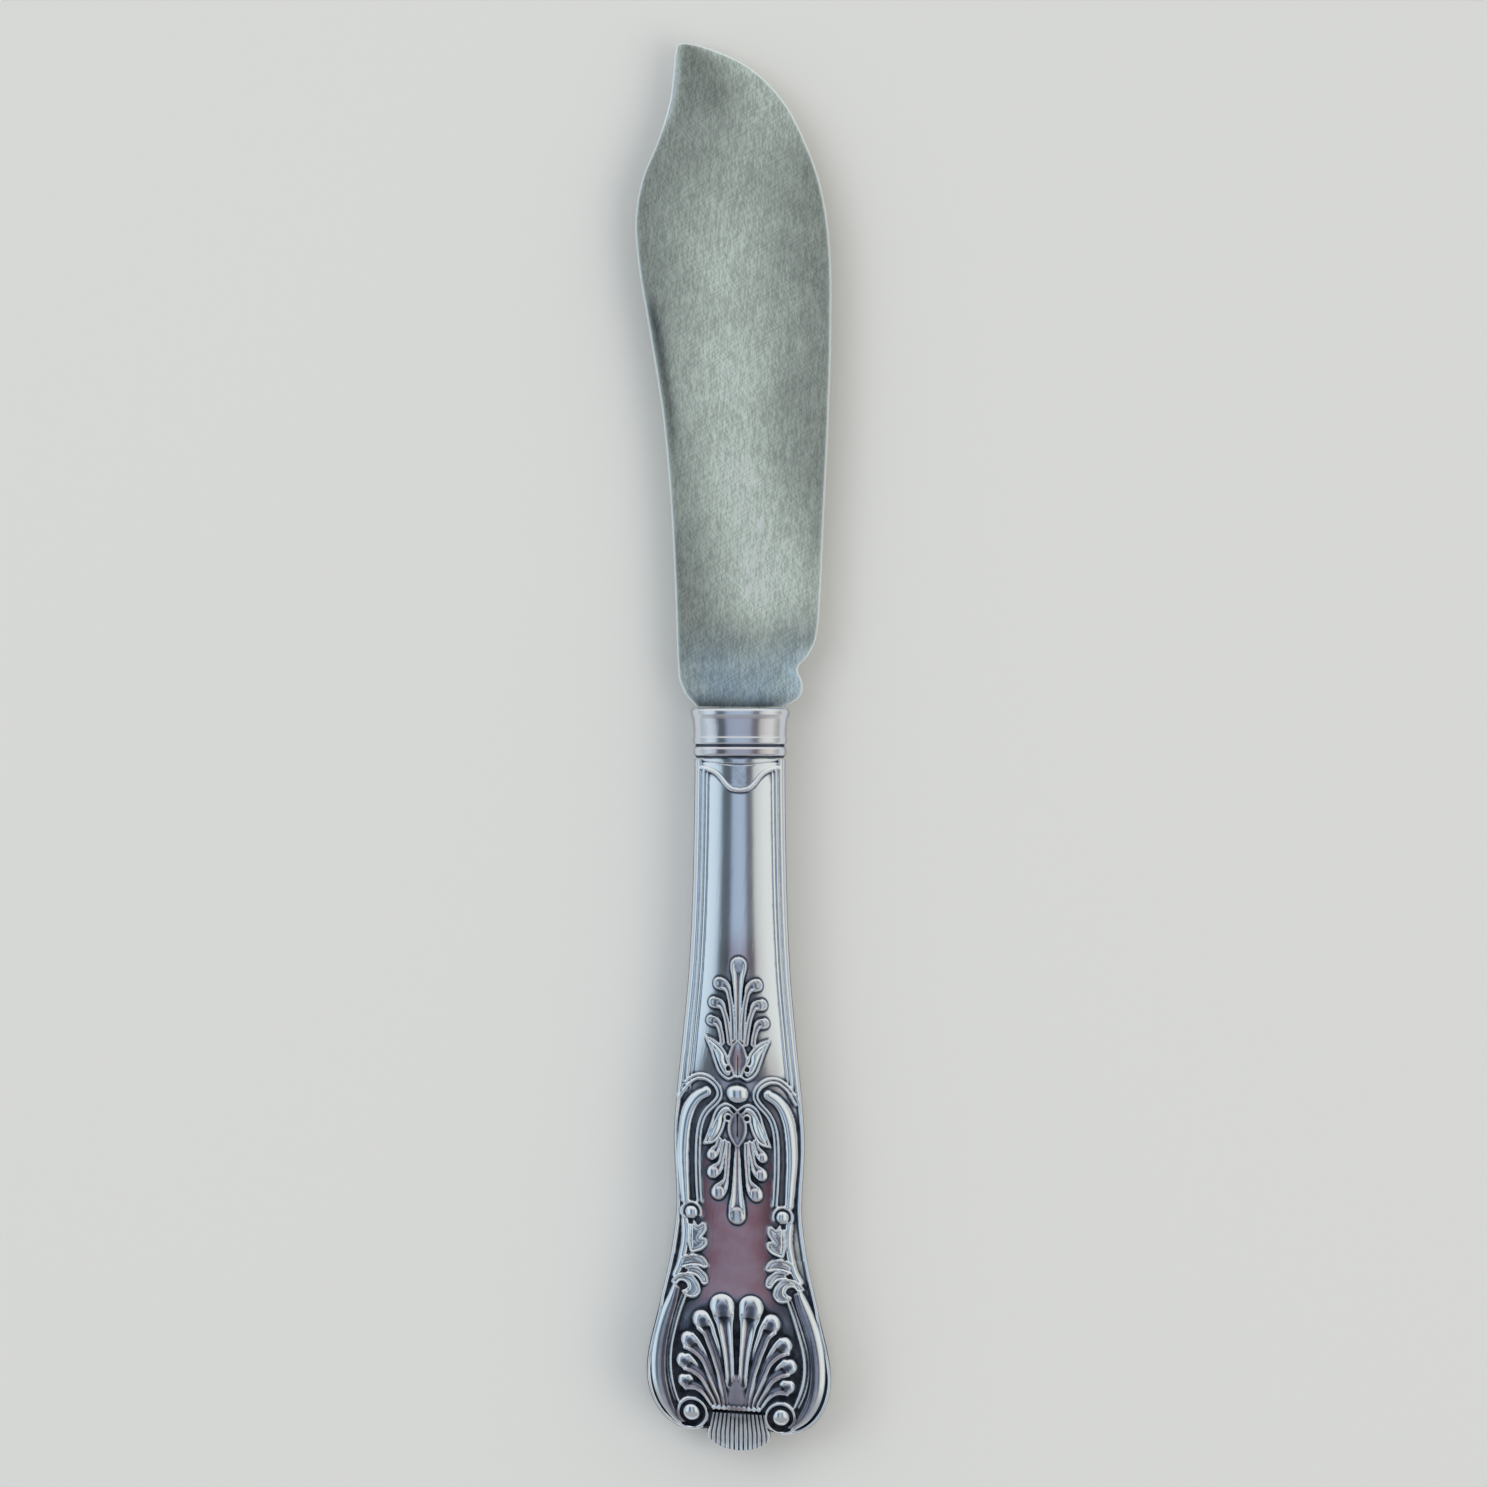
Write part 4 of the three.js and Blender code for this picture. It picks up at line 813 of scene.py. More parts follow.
def strike_border(relief, inset):
    """The border: a half-round rim at the edge, narrower beside the scrolls, and two threads inside it that
    end at the scrolls."""
    rim = 0.44 - 0.2 * ease_between(46, 50, relief.along)
    fade = ease_over(7.0, 7.7, 46.6, 48.6, relief.along)
    for centre, half, height, power in (
        (rim, rim, 0.34, ROUND), (1.12, 0.24, 0.26 * fade, SOFT), (1.58, 0.14, 0.13 * fade, SOFT),
    ):
        line = height * np.clip(1 - ((inset - centre) / half) ** 2, 0, None) ** power
        relief.height = np.maximum(relief.height, line)


def blurred(values, spread, step):
    """Values on a grid averaged over a spread, by passes of the weights 1, 2, 1 each way."""
    for _ in range(max(1, round(2 * (spread / step) ** 2))):
        edge = np.pad(values, 1, mode="edge")
        values = (edge[:-2, 1:-1] + 2 * edge[1:-1, 1:-1] + edge[2:, 1:-1]) / 4
        edge = np.pad(values, 1, mode="edge")
        values = (edge[1:-1, :-2] + 2 * edge[1:-1, 1:-1] + edge[1:-1, 2:]) / 4
    return values


def hollow_of(height, along, step):
    """How deep each point lies below its surroundings, from 0 on open metal to 1 or more in a narrow hollow.
    Round the scallop shell the whole sunk ground counts."""
    fine, wide, broad = (blurred(height, spread, step) - height for spread in (0.2, 0.58, 1.15))
    depth = 0.85 * ease_between(0.005, 0.085, fine) + 0.62 * ease_between(0.0, 0.16, wide)
    sunk = ease_between(0.02, 0.14, broad * ease_between(70, 75, along))
    return depth * (0.82 + 0.18 * ease_between(66, 71, along)) + 0.65 * sunk


def film_and_reflection_of(x, along, height, inset, step):
    """How strong the mauve tint is, partly thin film and partly painted reflection of the overhead where the
    ground lies level: on the low and level ground of the panel, mostly from the pearl down to the scallop
    shell, with a blush above the upper fan, and on the two buds beside the pearl."""
    low = 1 - ease_between(0.1, 0.3, height)
    slope = np.hypot(*np.gradient(height, step))
    level = 1 - ease_between(0.12, 0.45, blurred(slope, 0.13, step))
    panel = (0.08 + 0.92 * ease_between(38, 58, along)) * (1 - ease_between(74, 76, along))
    panel *= 1 - 0.12 * bell(x - 0.4, 1.9) * bell(along - 68.3, 3.2)
    panel += 0.5 * bell(x - 0.8, 1.4) * bell(along - 31.0, 2.6)
    buds = np.exp(-((along - 43.5) / 1.6) ** 4) + np.exp(-((along - 52.0) / 1.8) ** 4)
    buds *= 0.8 * np.exp(-((x / 0.9) ** 4))
    return np.maximum(low * level * ease_between(1.6, 3.2, inset) * panel, buds)


def skewed(x, along):
    """Place along the knife after the strike: below the plain neck the right side sits lower."""
    skew = bpy.context.scene.knife_handle.skew
    return along + skew * x * ease_between(10, 42, along)


def pattern_x(x, along):
    """Place across the pattern, which is struck a little to the left of the handle's axis, and less so close
    to its sides."""
    left = np.interp(along, [28, 34, 88], [0.0, 0.2, 0.32])
    return x + left * (1 - 0.7 * ease_between(7, 9, np.abs(x)))


def handle_panel():
    """The handle's shell from the neck to the top of the butt, with coarser rows along the plain stretch."""
    along = np.concatenate([
        np.arange(NECK, PLAIN_FROM, PANEL_STEP), np.arange(PLAIN_FROM, PLAIN_TO, PLAIN_STEP),
        np.arange(PLAIN_TO, BUTT_TOP, PANEL_STEP), np.arange(BUTT_TOP, BUTT_TOP + OVERLAP, PANEL_STEP),
    ])
    return handle_body(along, along < BUTT_TOP + 0.5 * PANEL_STEP, *PANEL_COLUMNS, PANEL_STEP)


def handle_butt():
    """The handle's shell at the butt, where rows run closer and follow the round of the butt at its end."""
    round_start = HANDLE_LENGTH - BUTT_WIDEST
    turn = np.linspace(0, math.pi / 2, 90)
    along = np.concatenate([
        np.arange(BUTT_TOP - OVERLAP, BUTT_TOP - 0.5 * BUTT_STEP, BUTT_STEP),
        np.arange(BUTT_TOP, round_start, BUTT_STEP),
        round_start + (BUTT_WIDEST - BUTT_FOOT) * np.sin(turn),
    ])
    return handle_body(along, along > BUTT_TOP - 0.5 * BUTT_STEP, *BUTT_COLUMNS, BUTT_STEP)


def handle_body(along, kept, border_columns, middle_columns, step):
    """Closed shell of one half of the handle over the kept rows. Rows run towards the butt; those that aren't
    kept only give the tarnish its surroundings. Round each section the columns run up the left side, across
    the struck face, down the right side and back along the inner wall, which closes onto the seam in the
    solid butt."""
    settings = bpy.context.scene.knife_handle
    from_butt = (HANDLE_LENGTH - along)[:, None]
    reach = half_width(from_butt)
    steps = np.linspace(0, BORDER, border_columns)[:-1]
    middle = np.linspace(-1, 1, middle_columns)
    x = np.concatenate([steps - reach, middle * (reach - BORDER), reach - steps[::-1]], axis=1)
    places = np.broadcast_to(along[:, None], x.shape)
    inset = inset_from_edge(x, from_butt, reach)
    relief = Relief(pattern_x(x, places), places)
    strike_tab(relief)
    strike_border(relief, inset)
    strike_fans(relief)
    strike_scrolls(relief)
    strike_side_leaves(relief)
    strike_scallop(relief)
    rise = blurred(relief.height, DIE_ROUNDING, step) * settings.relief
    top = ground(x, from_butt, reach) + rise
    wall = settings.wall / MM
    inner_reach = reach - wall
    inner = np.linspace(1, -1, INNER_COLUMNS)
    open_butt = ease_between(5.5, 9.0, from_butt)
    inner_top = SEAM_HALF + (ground(inner * inner_reach, from_butt, reach) - wall - SEAM_HALF) * open_butt
    floor = np.full_like(reach, SEAM_HALF)
    left, right = (
        np.concatenate([floor, (floor + edge) / 2, edge - 0.05], axis=1)
        for edge in (top[:, :1], top[:, -1:])
    )
    outer = np.concatenate([reach] * left.shape[1], axis=1)
    all_x = np.concatenate([-outer, x, outer, inner_reach, inner * inner_reach, -inner_reach], axis=1)
    all_z = np.concatenate([left, top, right[:, ::-1], floor, inner_top, floor], axis=1)
    all_along = np.minimum(along[:, None], volute_foot(all_x))
    start, end = left.shape[1], left.shape[1] + x.shape[1]
    hollow = np.full_like(all_x, INNER_TARNISH)
    # Painted shade up both sides from the seam.
    hollow[:, :start] = SIDE_SHADE
    hollow[:, start:end] = np.clip(hollow_of(rise, places, step) + relief.tarnish, 0, 1)
    hollow[:, end:end + start] = SIDE_SHADE[::-1]
    # Mauve tint of the struck face: partly thin film, partly painted reflection where the ground lies level.
    film_sheen_and_rim = np.zeros_like(all_x)
    film_sheen_and_rim[:, start:end] = np.maximum(film_and_reflection_of(relief.x, places, rise, inset, step), relief.mauve)
    return in_frame(all_x, skewed(all_x, all_along), all_z)[kept], hollow[kept], film_sheen_and_rim[kept]


def volute_foot(x):
    """Lowest place of the butt beside the tail: it follows the round of the volute in towards the tail."""
    beside_tail = np.clip(VOLUTE[0] - np.abs(x), 0, VOLUTE_RUN)
    return HANDLE_LENGTH - BUTT_FOOT - VOLUTE_ROUND + np.sqrt(VOLUTE_ROUND ** 2 - beside_tail ** 2)


def handle_tail():
    """Closed fan of flutes below the scallop shell: a rounded end, a crown across, and half-round flutes. The
    end's half width is a quarter ellipse, and each flute is half a sine wave to a power across the width."""
    turn = np.linspace(0.02, 1, 30)
    from_butt = np.concatenate([
        TAIL_ROUND * (1 - np.cos(turn * math.pi / 2)),
        np.linspace(TAIL_ROUND, HANDLE_LENGTH - TAIL_TOP, 14)[1:],
    ])[::-1, None]
    up = np.clip(1 - from_butt / TAIL_ROUND, 0, 1)
    taper = TAIL_TAPER * np.clip((from_butt - TAIL_ROUND) / TAIL_TAPER_RUN, 0, 1)
    reach = TAIL_HALF_WIDTH * np.sqrt(1 - up * up) - taper
    x = np.linspace(-1, 1, 8 * FLUTES + 1) * reach
    crown_reach = smooth_through([(0, 4.4), (BUTT_FOOT, 6.0), (4.8, 10.0)], from_butt)
    fan = np.clip(x / (TAIL_HALF_WIDTH - taper), -1, 1)
    ripple = np.abs(np.sin(FLUTES / 2 * math.pi * fan))
    edge = np.clip((reach - np.abs(x)) / 0.5, 0, 1)
    rounded = 0.5 * (np.sqrt(1 - (1 - edge) ** 2) - 1)
    rise = 0.04 + 0.26 * ripple ** 0.7
    top = ground(x, from_butt, crown_reach) + rise + rounded
    floor = np.full_like(reach, SEAM_HALF)
    all_x = np.concatenate([-reach, x, reach], axis=1)
    all_z = np.concatenate([floor, top, floor], axis=1)
    along = np.broadcast_to(HANDLE_LENGTH - from_butt, all_x.shape)
    shade = np.full_like(all_x, INNER_TARNISH)
    shade[:, 1:-1] = 0.1 + 0.85 * (1 - ripple) ** 2 + 0.3 * ease_between(2.6, 4.6, from_butt)
    return in_frame(all_x, skewed(all_x, along), all_z), shade, 0.0


def oval(half_wide, half_thick, angle):
    """Superellipse at each angle."""
    power = 2 / OVAL_POWER
    c, s = np.cos(angle), np.sin(angle)
    return half_wide * np.sign(c) * np.abs(c) ** power, half_thick * np.sign(s) * np.abs(s) ** power


def handle_neck():
    """Closed half tube that stands up from the shell's shoulder inside the collar."""
    angle = np.linspace(math.pi, 0, 33)
    outer_x, outer_z = oval(*NECK_OUTSIDE, angle)
    inner_x, inner_z = oval(*NECK_INSIDE, angle[::-1])
    x = np.concatenate([outer_x, inner_x])
    z = np.maximum(np.concatenate([outer_z, inner_z]), SEAM_HALF)
    along = np.array([NECK_TOP, NECK, NECK + NECK_ROOT])[:, None]
    x, along, z = np.broadcast_arrays(x, along, z)
    return in_frame(x, along, z), 0.5, 0.0


def turned_over(grid, hollow, film_sheen_and_rim):
    """The patch mirrored through the seam, with its columns reversed so that it still faces outwards."""
    back = grid.copy()
    back[..., 2] = 2 * SEAM_Z - back[..., 2]
    shape = grid.shape[:2]
    return back[:, ::-1], np.broadcast_to(hollow, shape)[:, ::-1], np.broadcast_to(film_sheen_and_rim, shape)[:, ::-1]


# Blade: points as (from the axis, above the collar's mouth) in millimetres

BLADE_ROWS = 330
BLADE_COLUMNS = 131  # across each face
# Lighter lane up the blade, by the place along it: its middle as a share of the width, and how dark it is
LANE_MIDDLE = [(0, 0.55), (15, 0.6), (30, 0.42), (50, 0.44), (62, 0.5), (72, 0.68), (82, 0.85)]
LANE_DARKNESS = [
    (0, 0.24), (5, 0.22), (8.5, 0.34), (12.5, 0.06), (15.5, 0.0), (22, 0.04), (40, 0.08), (54, 0.17),
    (62, 0.28), (70, 0.36), (82, 0.34),
]
TANG = [(1.5, 2.5), (-48.0, 1.3)]  # its ends above the collar's mouth, with the half width there
TANG_HALF_THICKNESS = 0.6
SPINE = [
    (-5.55, 0.2), (-6.95, 1.9), (-7.6, 3.4), (-7.8, 5.5), (-8.05, 12.0), (-8.8, 26.5), (-9.7, 36.0),
    (-11.3, 46.2), (-12.9, 56.0), (-13.2, 59.9), (-12.4, 65.6), (-10.45, 70.5), (-8.95, 75.5),
    (-8.45, 79.6), (-8.2, 81.9), (-8.0, 82.5), (-7.5, 82.8),
]
EDGE = [
    (5.55, 0.2), (6.7, 0.75), (7.55, 1.5), (7.85, 2.6), (7.65, 3.7), (7.25, 4.7), (7.4, 5.3), (8.1, 6.0),
    (8.8, 7.0), (9.35, 8.2), (9.75, 10.2), (9.95, 13.0), (10.45, 24.0), (11.0, 36.0), (11.3, 48.0),
    (11.2, 56.0), (10.8, 60.5), (9.8, 65.6), (8.0, 70.5), (5.3, 75.5), (0.75, 79.9), (-3.1, 81.75),
    (-5.6, 82.55), (-7.0, 82.8),
]


def blade_body():
    """Closed plate between the spine's and the edge's curves. Half its thickness at a distance d from the
    outline is a quarter circle over the rim, then the full half thickness less a dip that fades inwards."""
    settings = bpy.context.scene.knife_blade
    spine = curve_through(SPINE, 420)
    edge = curve_through(EDGE, 520)
    root, drawn = SPINE[0][1], SPINE[-1][1]
    even = np.linspace(1, 0, BLADE_ROWS)
    y = root + (drawn - root) * (0.55 * (0.5 - 0.5 * np.cos(even * math.pi)) + 0.45 * even)
    low = np.interp(y, spine[:, 1], spine[:, 0])[:, None]
    high = np.interp(y, edge[:, 1], edge[:, 0])[:, None]
    lean = np.linspace(-1, 1, BLADE_COLUMNS)
    x = low + (high - low) * (0.5 + 0.5 * (0.45 * lean + 0.55 * np.sin(lean * math.pi / 2)))
    along = np.broadcast_to(y[:, None], x.shape)
    depth = distance_to_line(x, along, np.concatenate([spine, edge[::-1]]))
    rim = settings.rim / MM
    rounded = np.sqrt(1 - (1 - np.clip(depth / rim, 0, 1)) ** 2)
    dip = settings.crown / MM * np.exp(-depth / 2.2)
    z = (settings.thickness / MM / 2 - dip) * rounded
    stretched = -both(along) * BLADE_LENGTH / drawn
    faces = in_frame(both(x), stretched, np.concatenate([z, -z[:, ::-1]], axis=1))
    tip = bell(x - low, 0.7) * ease_over(71.5, 74, 79, 81, along)
    bright = np.clip(bell(depth, rim) + 0.5 * tip, 0, 1)
    # Darker face, with painted shade inside the spine and a painted shadow beside the collar.
    darkening = blade_darkening(x, along, low, high)
    return faces, both(darkening), both(bright), both(blade_stain_and_shade(x, along, low))


def both(values):
    """Values for the front's columns, then for the back's columns in the opposite order."""
    return np.concatenate([values, values[:, ::-1]], axis=1)


def spine_shade_band(x, along, low, width):
    """Band inside the spine, along the middle of the blade, where painted shade lies."""
    return bell(x - low - 1.0, width) * ease_over(26, 38, 47, 54, along)


def blade_darkening(x, along, low, high):
    """How dark each place of the blade is, from 0 where it is lightest. A lighter lane runs up the blade: its
    middle and its own darkness are smooth curves along the blade, and darkness grows away from it as a bell
    curve does, up to a limit. A band inside the spine is darker, painted shade, and so is a strip beside the
    collar, a painted shadow of the collar; the heel's corner and the tip's two sides are rubbed."""
    across = (x - low) / (high - low)
    least = smooth_through(LANE_DARKNESS, along)
    most = 0.58 - 0.2 * (1 - ease_between(2, 10, along))
    off = across - smooth_through(LANE_MIDDLE, along)
    width = np.where(off > 0, 0.32 + 0.2 * (1 - ease_between(15, 32, along)), 0.32)
    darkening = most + (least - most) * bell(off, width)
    corner = ease_between(0.82, 0.95, across) * (1 - ease_between(6, 9, along))
    tip = bell(x - low, 0.9) * ease_between(70, 74, along)
    tip += 0.5 * ease_between(66, 78, along) * across ** 3
    # Painted shade in a band inside the spine, and a painted shadow of the collar along the heel.
    dark = 0.34 * spine_shade_band(x, along, low, 0.75) + 0.5 * bell(along, 1.3)
    return np.clip(darkening + dark - 0.25 * corner - 0.5 * tip, 0, 1)


def blade_stain_and_shade(x, along, low):
    """How strong the bluish tint is: a stain on the heel, and painted shade in a band inside the spine."""
    heel = 1 - ease_between(2.0, 12.0, along + 0.9 * np.sin(0.55 * x + 0.8))
    return np.clip(heel + 0.35 * spine_shade_band(x, along, low, 0.9), 0, 1)


def blade_tang():
    """Closed tapered bar from inside the blade's root down into the filling."""
    place, half = np.array(TANG).T[:, :, None]
    x = half * [-1, 1, 1, -1]
    z = np.broadcast_to(TANG_HALF_THICKNESS * np.array([1, 1, -1, -1]), x.shape)
    return in_frame(x, np.broadcast_to(-place, x.shape), z), 0.0, 0.0


# Collar

# Outside, as (below its mouth, half width)
COLLAR_PROFILE = [
    (0.0, 5.7), (0.04, 5.9), (0.12, 6.03), (0.3, 6.14), (0.55, 6.18), (0.8, 6.15), (1.05, 6.05),
    (1.35, 5.95), (2.0, 5.86), (3.0, 5.81), (3.55, 5.79), (3.68, 5.86), (3.9, 5.88), (4.3, 5.85),
    (4.45, 5.78), (4.56, 5.55), (4.66, 5.46), (4.76, 5.55), (4.86, 5.7), (5.1, 5.8), (5.4, 5.83),
    (5.7, 5.79), (5.9, 5.68), (6.0, 5.5), (6.2, 5.42),
]
COLLAR_SLOT = (2.7, 0.8)  # half width and half thickness of the slot in its end, and of the hollow below it
COLLAR_HOLLOW = (4.7, 2.95)
COLLAR_END = 0.9  # thickness of the slotted end
# Tarnish of the grooves, and the mauve tint on the bands beside them, partly thin film and partly painted
# reflection, by the place below the mouth
COLLAR_GROOVES = [(4.47, 0), (4.62, 0.75), (4.73, 0.75), (4.88, 0), (5.85, 0), (6.0, 0.8), (6.2, 0.8)]
COLLAR_MAUVE = [(0.9, 0), (1.3, 0.26), (3.2, 0.26), (3.6, 0.06), (4.9, 0), (5.2, 0.34), (5.6, 0.34), (5.8, 0)]
COLLAR_INSIDE_TARNISH = 0.9
COLLAR_RINGS = 150  # on the outside
COLLAR_COLUMNS = 192  # round each ring


def collar_body():
    """Closed cup. Its rings run from the foot up the hollow, out through the slot, over the mouth's lip and
    down the outside to the foot. Each is an oval, except the slot's two, which are rectangles."""
    profile = np.array(COLLAR_PROFILE)
    depth = np.linspace(0, profile[-1, 0], COLLAR_RINGS)
    wide = np.interp(depth, *profile.T)
    wide = np.convolve(np.pad(wide, 2, mode="edge"), [0.1, 0.2, 0.4, 0.2, 0.1], mode="valid")
    thick = wide - 1.87 + 0.02 * depth
    angle = np.linspace(math.pi, -math.pi, COLLAR_COLUMNS, endpoint=False)
    corner = np.maximum(np.abs(np.cos(angle)), np.abs(np.sin(angle)))
    slot = COLLAR_SLOT[0] * np.cos(angle) / corner, COLLAR_SLOT[1] * np.sin(angle) / corner
    hollow = oval(*COLLAR_HOLLOW, angle)
    outside = oval(wide[:, None], thick[:, None], angle)
    x, z = (
        np.vstack([out[-1:], inside, inside, edge, edge, out])
        for out, inside, edge in zip(outside, hollow, slot)
    )
    down = depth * COLLAR_LENGTH / profile[-1, 0]
    along = np.concatenate([down[-1:], [COLLAR_LENGTH, COLLAR_END, COLLAR_END, 0.0], down])
    groove = np.interp(depth, *np.array(COLLAR_GROOVES).T)
    shade = np.concatenate([groove[-1:], [COLLAR_INSIDE_TARNISH] * 4, groove])[:, None]
    film = np.interp(depth, *np.array(COLLAR_MAUVE).T)
    film = np.concatenate([film[-1:], [0.0] * 4, film])[:, None]
    # Towards the flanks painted shade darkens the collar, and the mauve tint, partly painted reflection of
    # the overhead, fades.
    outward = np.abs(x) / np.abs(x).max(1, keepdims=True)
    shade = np.clip(shade + 0.4 * ease_between(0.9, 0.99, outward), 0, 1)
    veil = 0.1 + film * (1 - ease_between(0.45, 0.85, outward))
    return in_frame(x, np.broadcast_to(along[:, None], x.shape), z), shade, veil


def seam_ribbon():
    """Closed ribbon of solder between the halves, as two strips that follow the sides from neck to butt."""
    round_start = HANDLE_LENGTH - BUTT_WIDEST
    turn = np.linspace(0, math.pi / 2, 40)[1:]
    along = np.concatenate([
        np.linspace(NECK, round_start, 200), round_start + (BUTT_WIDEST - BUTT_FOOT) * np.sin(turn),
    ])
    reach = half_width(HANDLE_LENGTH - along)
    wall = bpy.context.scene.knife_handle.wall / MM
    patches = []
    for side in (1, -1):
        outer, inner = side * (reach - 0.03), side * (reach - wall)
        x = np.stack([inner, outer, outer, inner], axis=1)
        z = side * np.array([[1, 1, -1, -1]]) * SEAM_HALF * np.ones((len(along), 1))
        places = np.minimum(np.broadcast_to(along[:, None], x.shape), volute_foot(x))
        patches.append((in_frame(x, skewed(x, places), z), 0.3, 0.0))
    return patches


# Node groups and materials

# Hairline scratches of the blade, as (direction in degrees, noise scale across, along and through them)
BLADE_SCRATCHES = (
    (3.0, (4300.0, 230.0, 1.0)), (-9.0, (4300.0, 300.0, 1.0)), (17.0, (4600.0, 330.0, 1.0)),
    (-38.0, (4600.0, 420.0, 1.0)), (58.0, (4600.0, 420.0, 1.0)),
)
SCRATCH_DRIFT = (0.0012, 0.0012, 0.0)  # metres that a scratch strays from its line
SCRATCH_SOFTNESS = 0.16  # of the noise, from where a scratch starts to where it is full
SCRATCH_DEPTH = 0.00002
RUBBED_SILVER = (0.9, 0.97, 1.0)


def feed(tree, node, inputs):
    """Feeds inputs of a node, each by name or number: from another node's output, or with a value."""
    for key, source in inputs.items():
        if isinstance(source, bpy.types.NodeSocket):
            tree.links.new(source, node.inputs[key])
        else:
            node.inputs[key].default_value = source


def add_node(tree, kind, inputs, **options):
    """Shader node of a kind, with its options set and its inputs fed."""
    node = tree.nodes.new("ShaderNode" + kind)
    for name, value in options.items():
        setattr(node, name, value)
    feed(tree, node, inputs)
    return node


def add_noise(tree, label, vector, scale, detail, roughness=0.5):
    """Outputs of a noise texture."""
    inputs = {"Vector": vector, "Scale": scale, "Detail": detail, "Roughness": roughness}
    return add_node(tree, "TexNoise", inputs, label=label).outputs


def coordinates(tree, kind):
    """Coordinates of the point that is shaded."""
    return add_node(tree, "TexCoord", {}).outputs[kind]


def combined(tree, operation, *values):
    """Result of an operation on numbers."""
    return add_node(tree, "Math", dict(enumerate(values)), operation=operation).outputs[0]


def combined_vectors(tree, operation, *values):
    """Result of an operation on vectors."""
    return add_node(tree, "VectorMath", dict(enumerate(values)), operation=operation).outputs["Vector"]


def remapped(tree, value, from_low, from_high, to_low=0.0, to_high=1.0, **options):
    """Value taken from one range to another and held at its ends."""
    inputs = {
        "Value": value, "From Min": from_low, "From Max": from_high, "To Min": to_low, "To Max": to_high,
    }
    return add_node(tree, "MapRange", inputs, **options).outputs["Result"]


def mixed(tree, share, first, second):
    """Colour that goes from the first to the second as the share grows."""
    inputs = {"Factor": share, "A": first, "B": second}
    return add_node(tree, "Mix", inputs, data_type="RGBA").outputs["Result"]


def bumped(tree, label, height, strength, distance):
    """Normal over a bump."""
    inputs = {"Height": height, "Strength": strength, "Distance": distance}
    return add_node(tree, "Bump", inputs, label=label).outputs["Normal"]


def new_group(name, inputs, outputs):
    """Empty shader node group with named float, colour or vector sockets."""
    group = bpy.data.node_groups.new(name, "ShaderNodeTree")
    kinds = {"value": "NodeSocketFloat", "colour": "NodeSocketColor", "vector": "NodeSocketVector"}
    for label, kind in inputs:
        group.interface.new_socket(name=label, in_out="INPUT", socket_type=kinds[kind])
    for label, kind in outputs:
        group.interface.new_socket(name=label, in_out="OUTPUT", socket_type=kinds[kind])
    return group, group.nodes.new("NodeGroupInput"), group.nodes.new("NodeGroupOutput")


def scratch_group():
    """Fine hairline scratches: noise drawn out along one direction and cut to thin lines."""
    name = "Hairline scratches"
    if name in bpy.data.node_groups:
        return bpy.data.node_groups[name]
    group, entry, leave = new_group(
        name, [("Vector", "vector"), ("Angle", "value"), ("Stretch", "vector"), ("Threshold", "value")],
        [("Lines", "value")])
    given = entry.outputs
    turn = {"Vector": given["Vector"], "Angle": given["Angle"]}
    turned = add_node(group, "VectorRotate", turn, rotation_type="Z_AXIS").outputs["Vector"]
    drift = add_noise(group, "drift", turned, 60.0, 1.0)["Color"]
    drifted = combined_vectors(group, "MULTIPLY_ADD", drift, SCRATCH_DRIFT, turned)
    drawn_out = combined_vectors(group, "MULTIPLY", drifted, given["Stretch"])
    noise = add_noise(group, "lines", drawn_out, 1.0, 3.0, 0.65)["Fac"]
    full = combined(group, "ADD", given["Threshold"], SCRATCH_SOFTNESS)
    feed(group, leave, {"Lines": remapped(group, noise, given["Threshold"], full)})
    return group


def tarnish_and_sheen_group():
    """Tarnish and painted reflection: a mauve tint on the low ground, partly thin film and partly painted
    reflection of the overhead, a bluish grey film round the hollows and black inside them."""
    name = "Tarnish in hollows"
    if name in bpy.data.node_groups:
        return bpy.data.node_groups[name]
    group, entry, leave = new_group(
        name,
        [("Vector", "vector"), ("Hollow", "value"), ("Film_and_sheen", "value"), ("Silver", "colour"),
         ("Mauve", "colour"), ("Film", "colour"), ("Black", "colour")],
        [("Colour", "colour"), ("Mask", "value")])
    given = entry.outputs
    patches = add_noise(group, "patches", given["Vector"], 900.0, 4.0, 0.6)["Fac"]
    clouds = add_noise(group, "clouds", given["Vector"], 260.0, 3.0)["Fac"]
    wobble = combined(group, "MULTIPLY_ADD", patches, 0.4, -0.2)
    depth = combined(group, "ADD", given["Hollow"], wobble)
    mauve = combined(group, "MULTIPLY", given["Film_and_sheen"], remapped(group, clouds, 0.25, 0.6, 0.8))
    film = remapped(group, depth, 0.15, 0.6)
    black = remapped(group, depth, 0.5, 1.05)
    colour = given["Silver"]
    for mask, coat in ((mauve, "Mauve"), (film, "Film"), (black, "Black")):
        colour = mixed(group, mask, colour, given[coat])
    feed(group, leave, {"Colour": colour, "Mask": black})
    return group


def new_material(name):
    """Material with one Principled shader, with its node tree and the shader."""
    material = bpy.data.materials.new(name)
    material.use_nodes = True
    return material, material.node_tree, material.node_tree.nodes["Principled BSDF"]


def stored(tree, name):
    """Value that the mesh keeps for each of its points."""
    return add_node(tree, "Attribute", {}, attribute_name=name).outputs["Fac"]


def hairlines(tree, vector, angle, stretch, threshold):
    """Hairline scratches in a material."""
    inputs = {"Vector": vector, "Angle": angle, "Stretch": stretch, "Threshold": threshold}
    return add_node(tree, "Group", inputs, node_tree=scratch_group()).outputs["Lines"]


def rgba(colour):
    """Colour with full alpha."""
    return (*colour, 1.0)


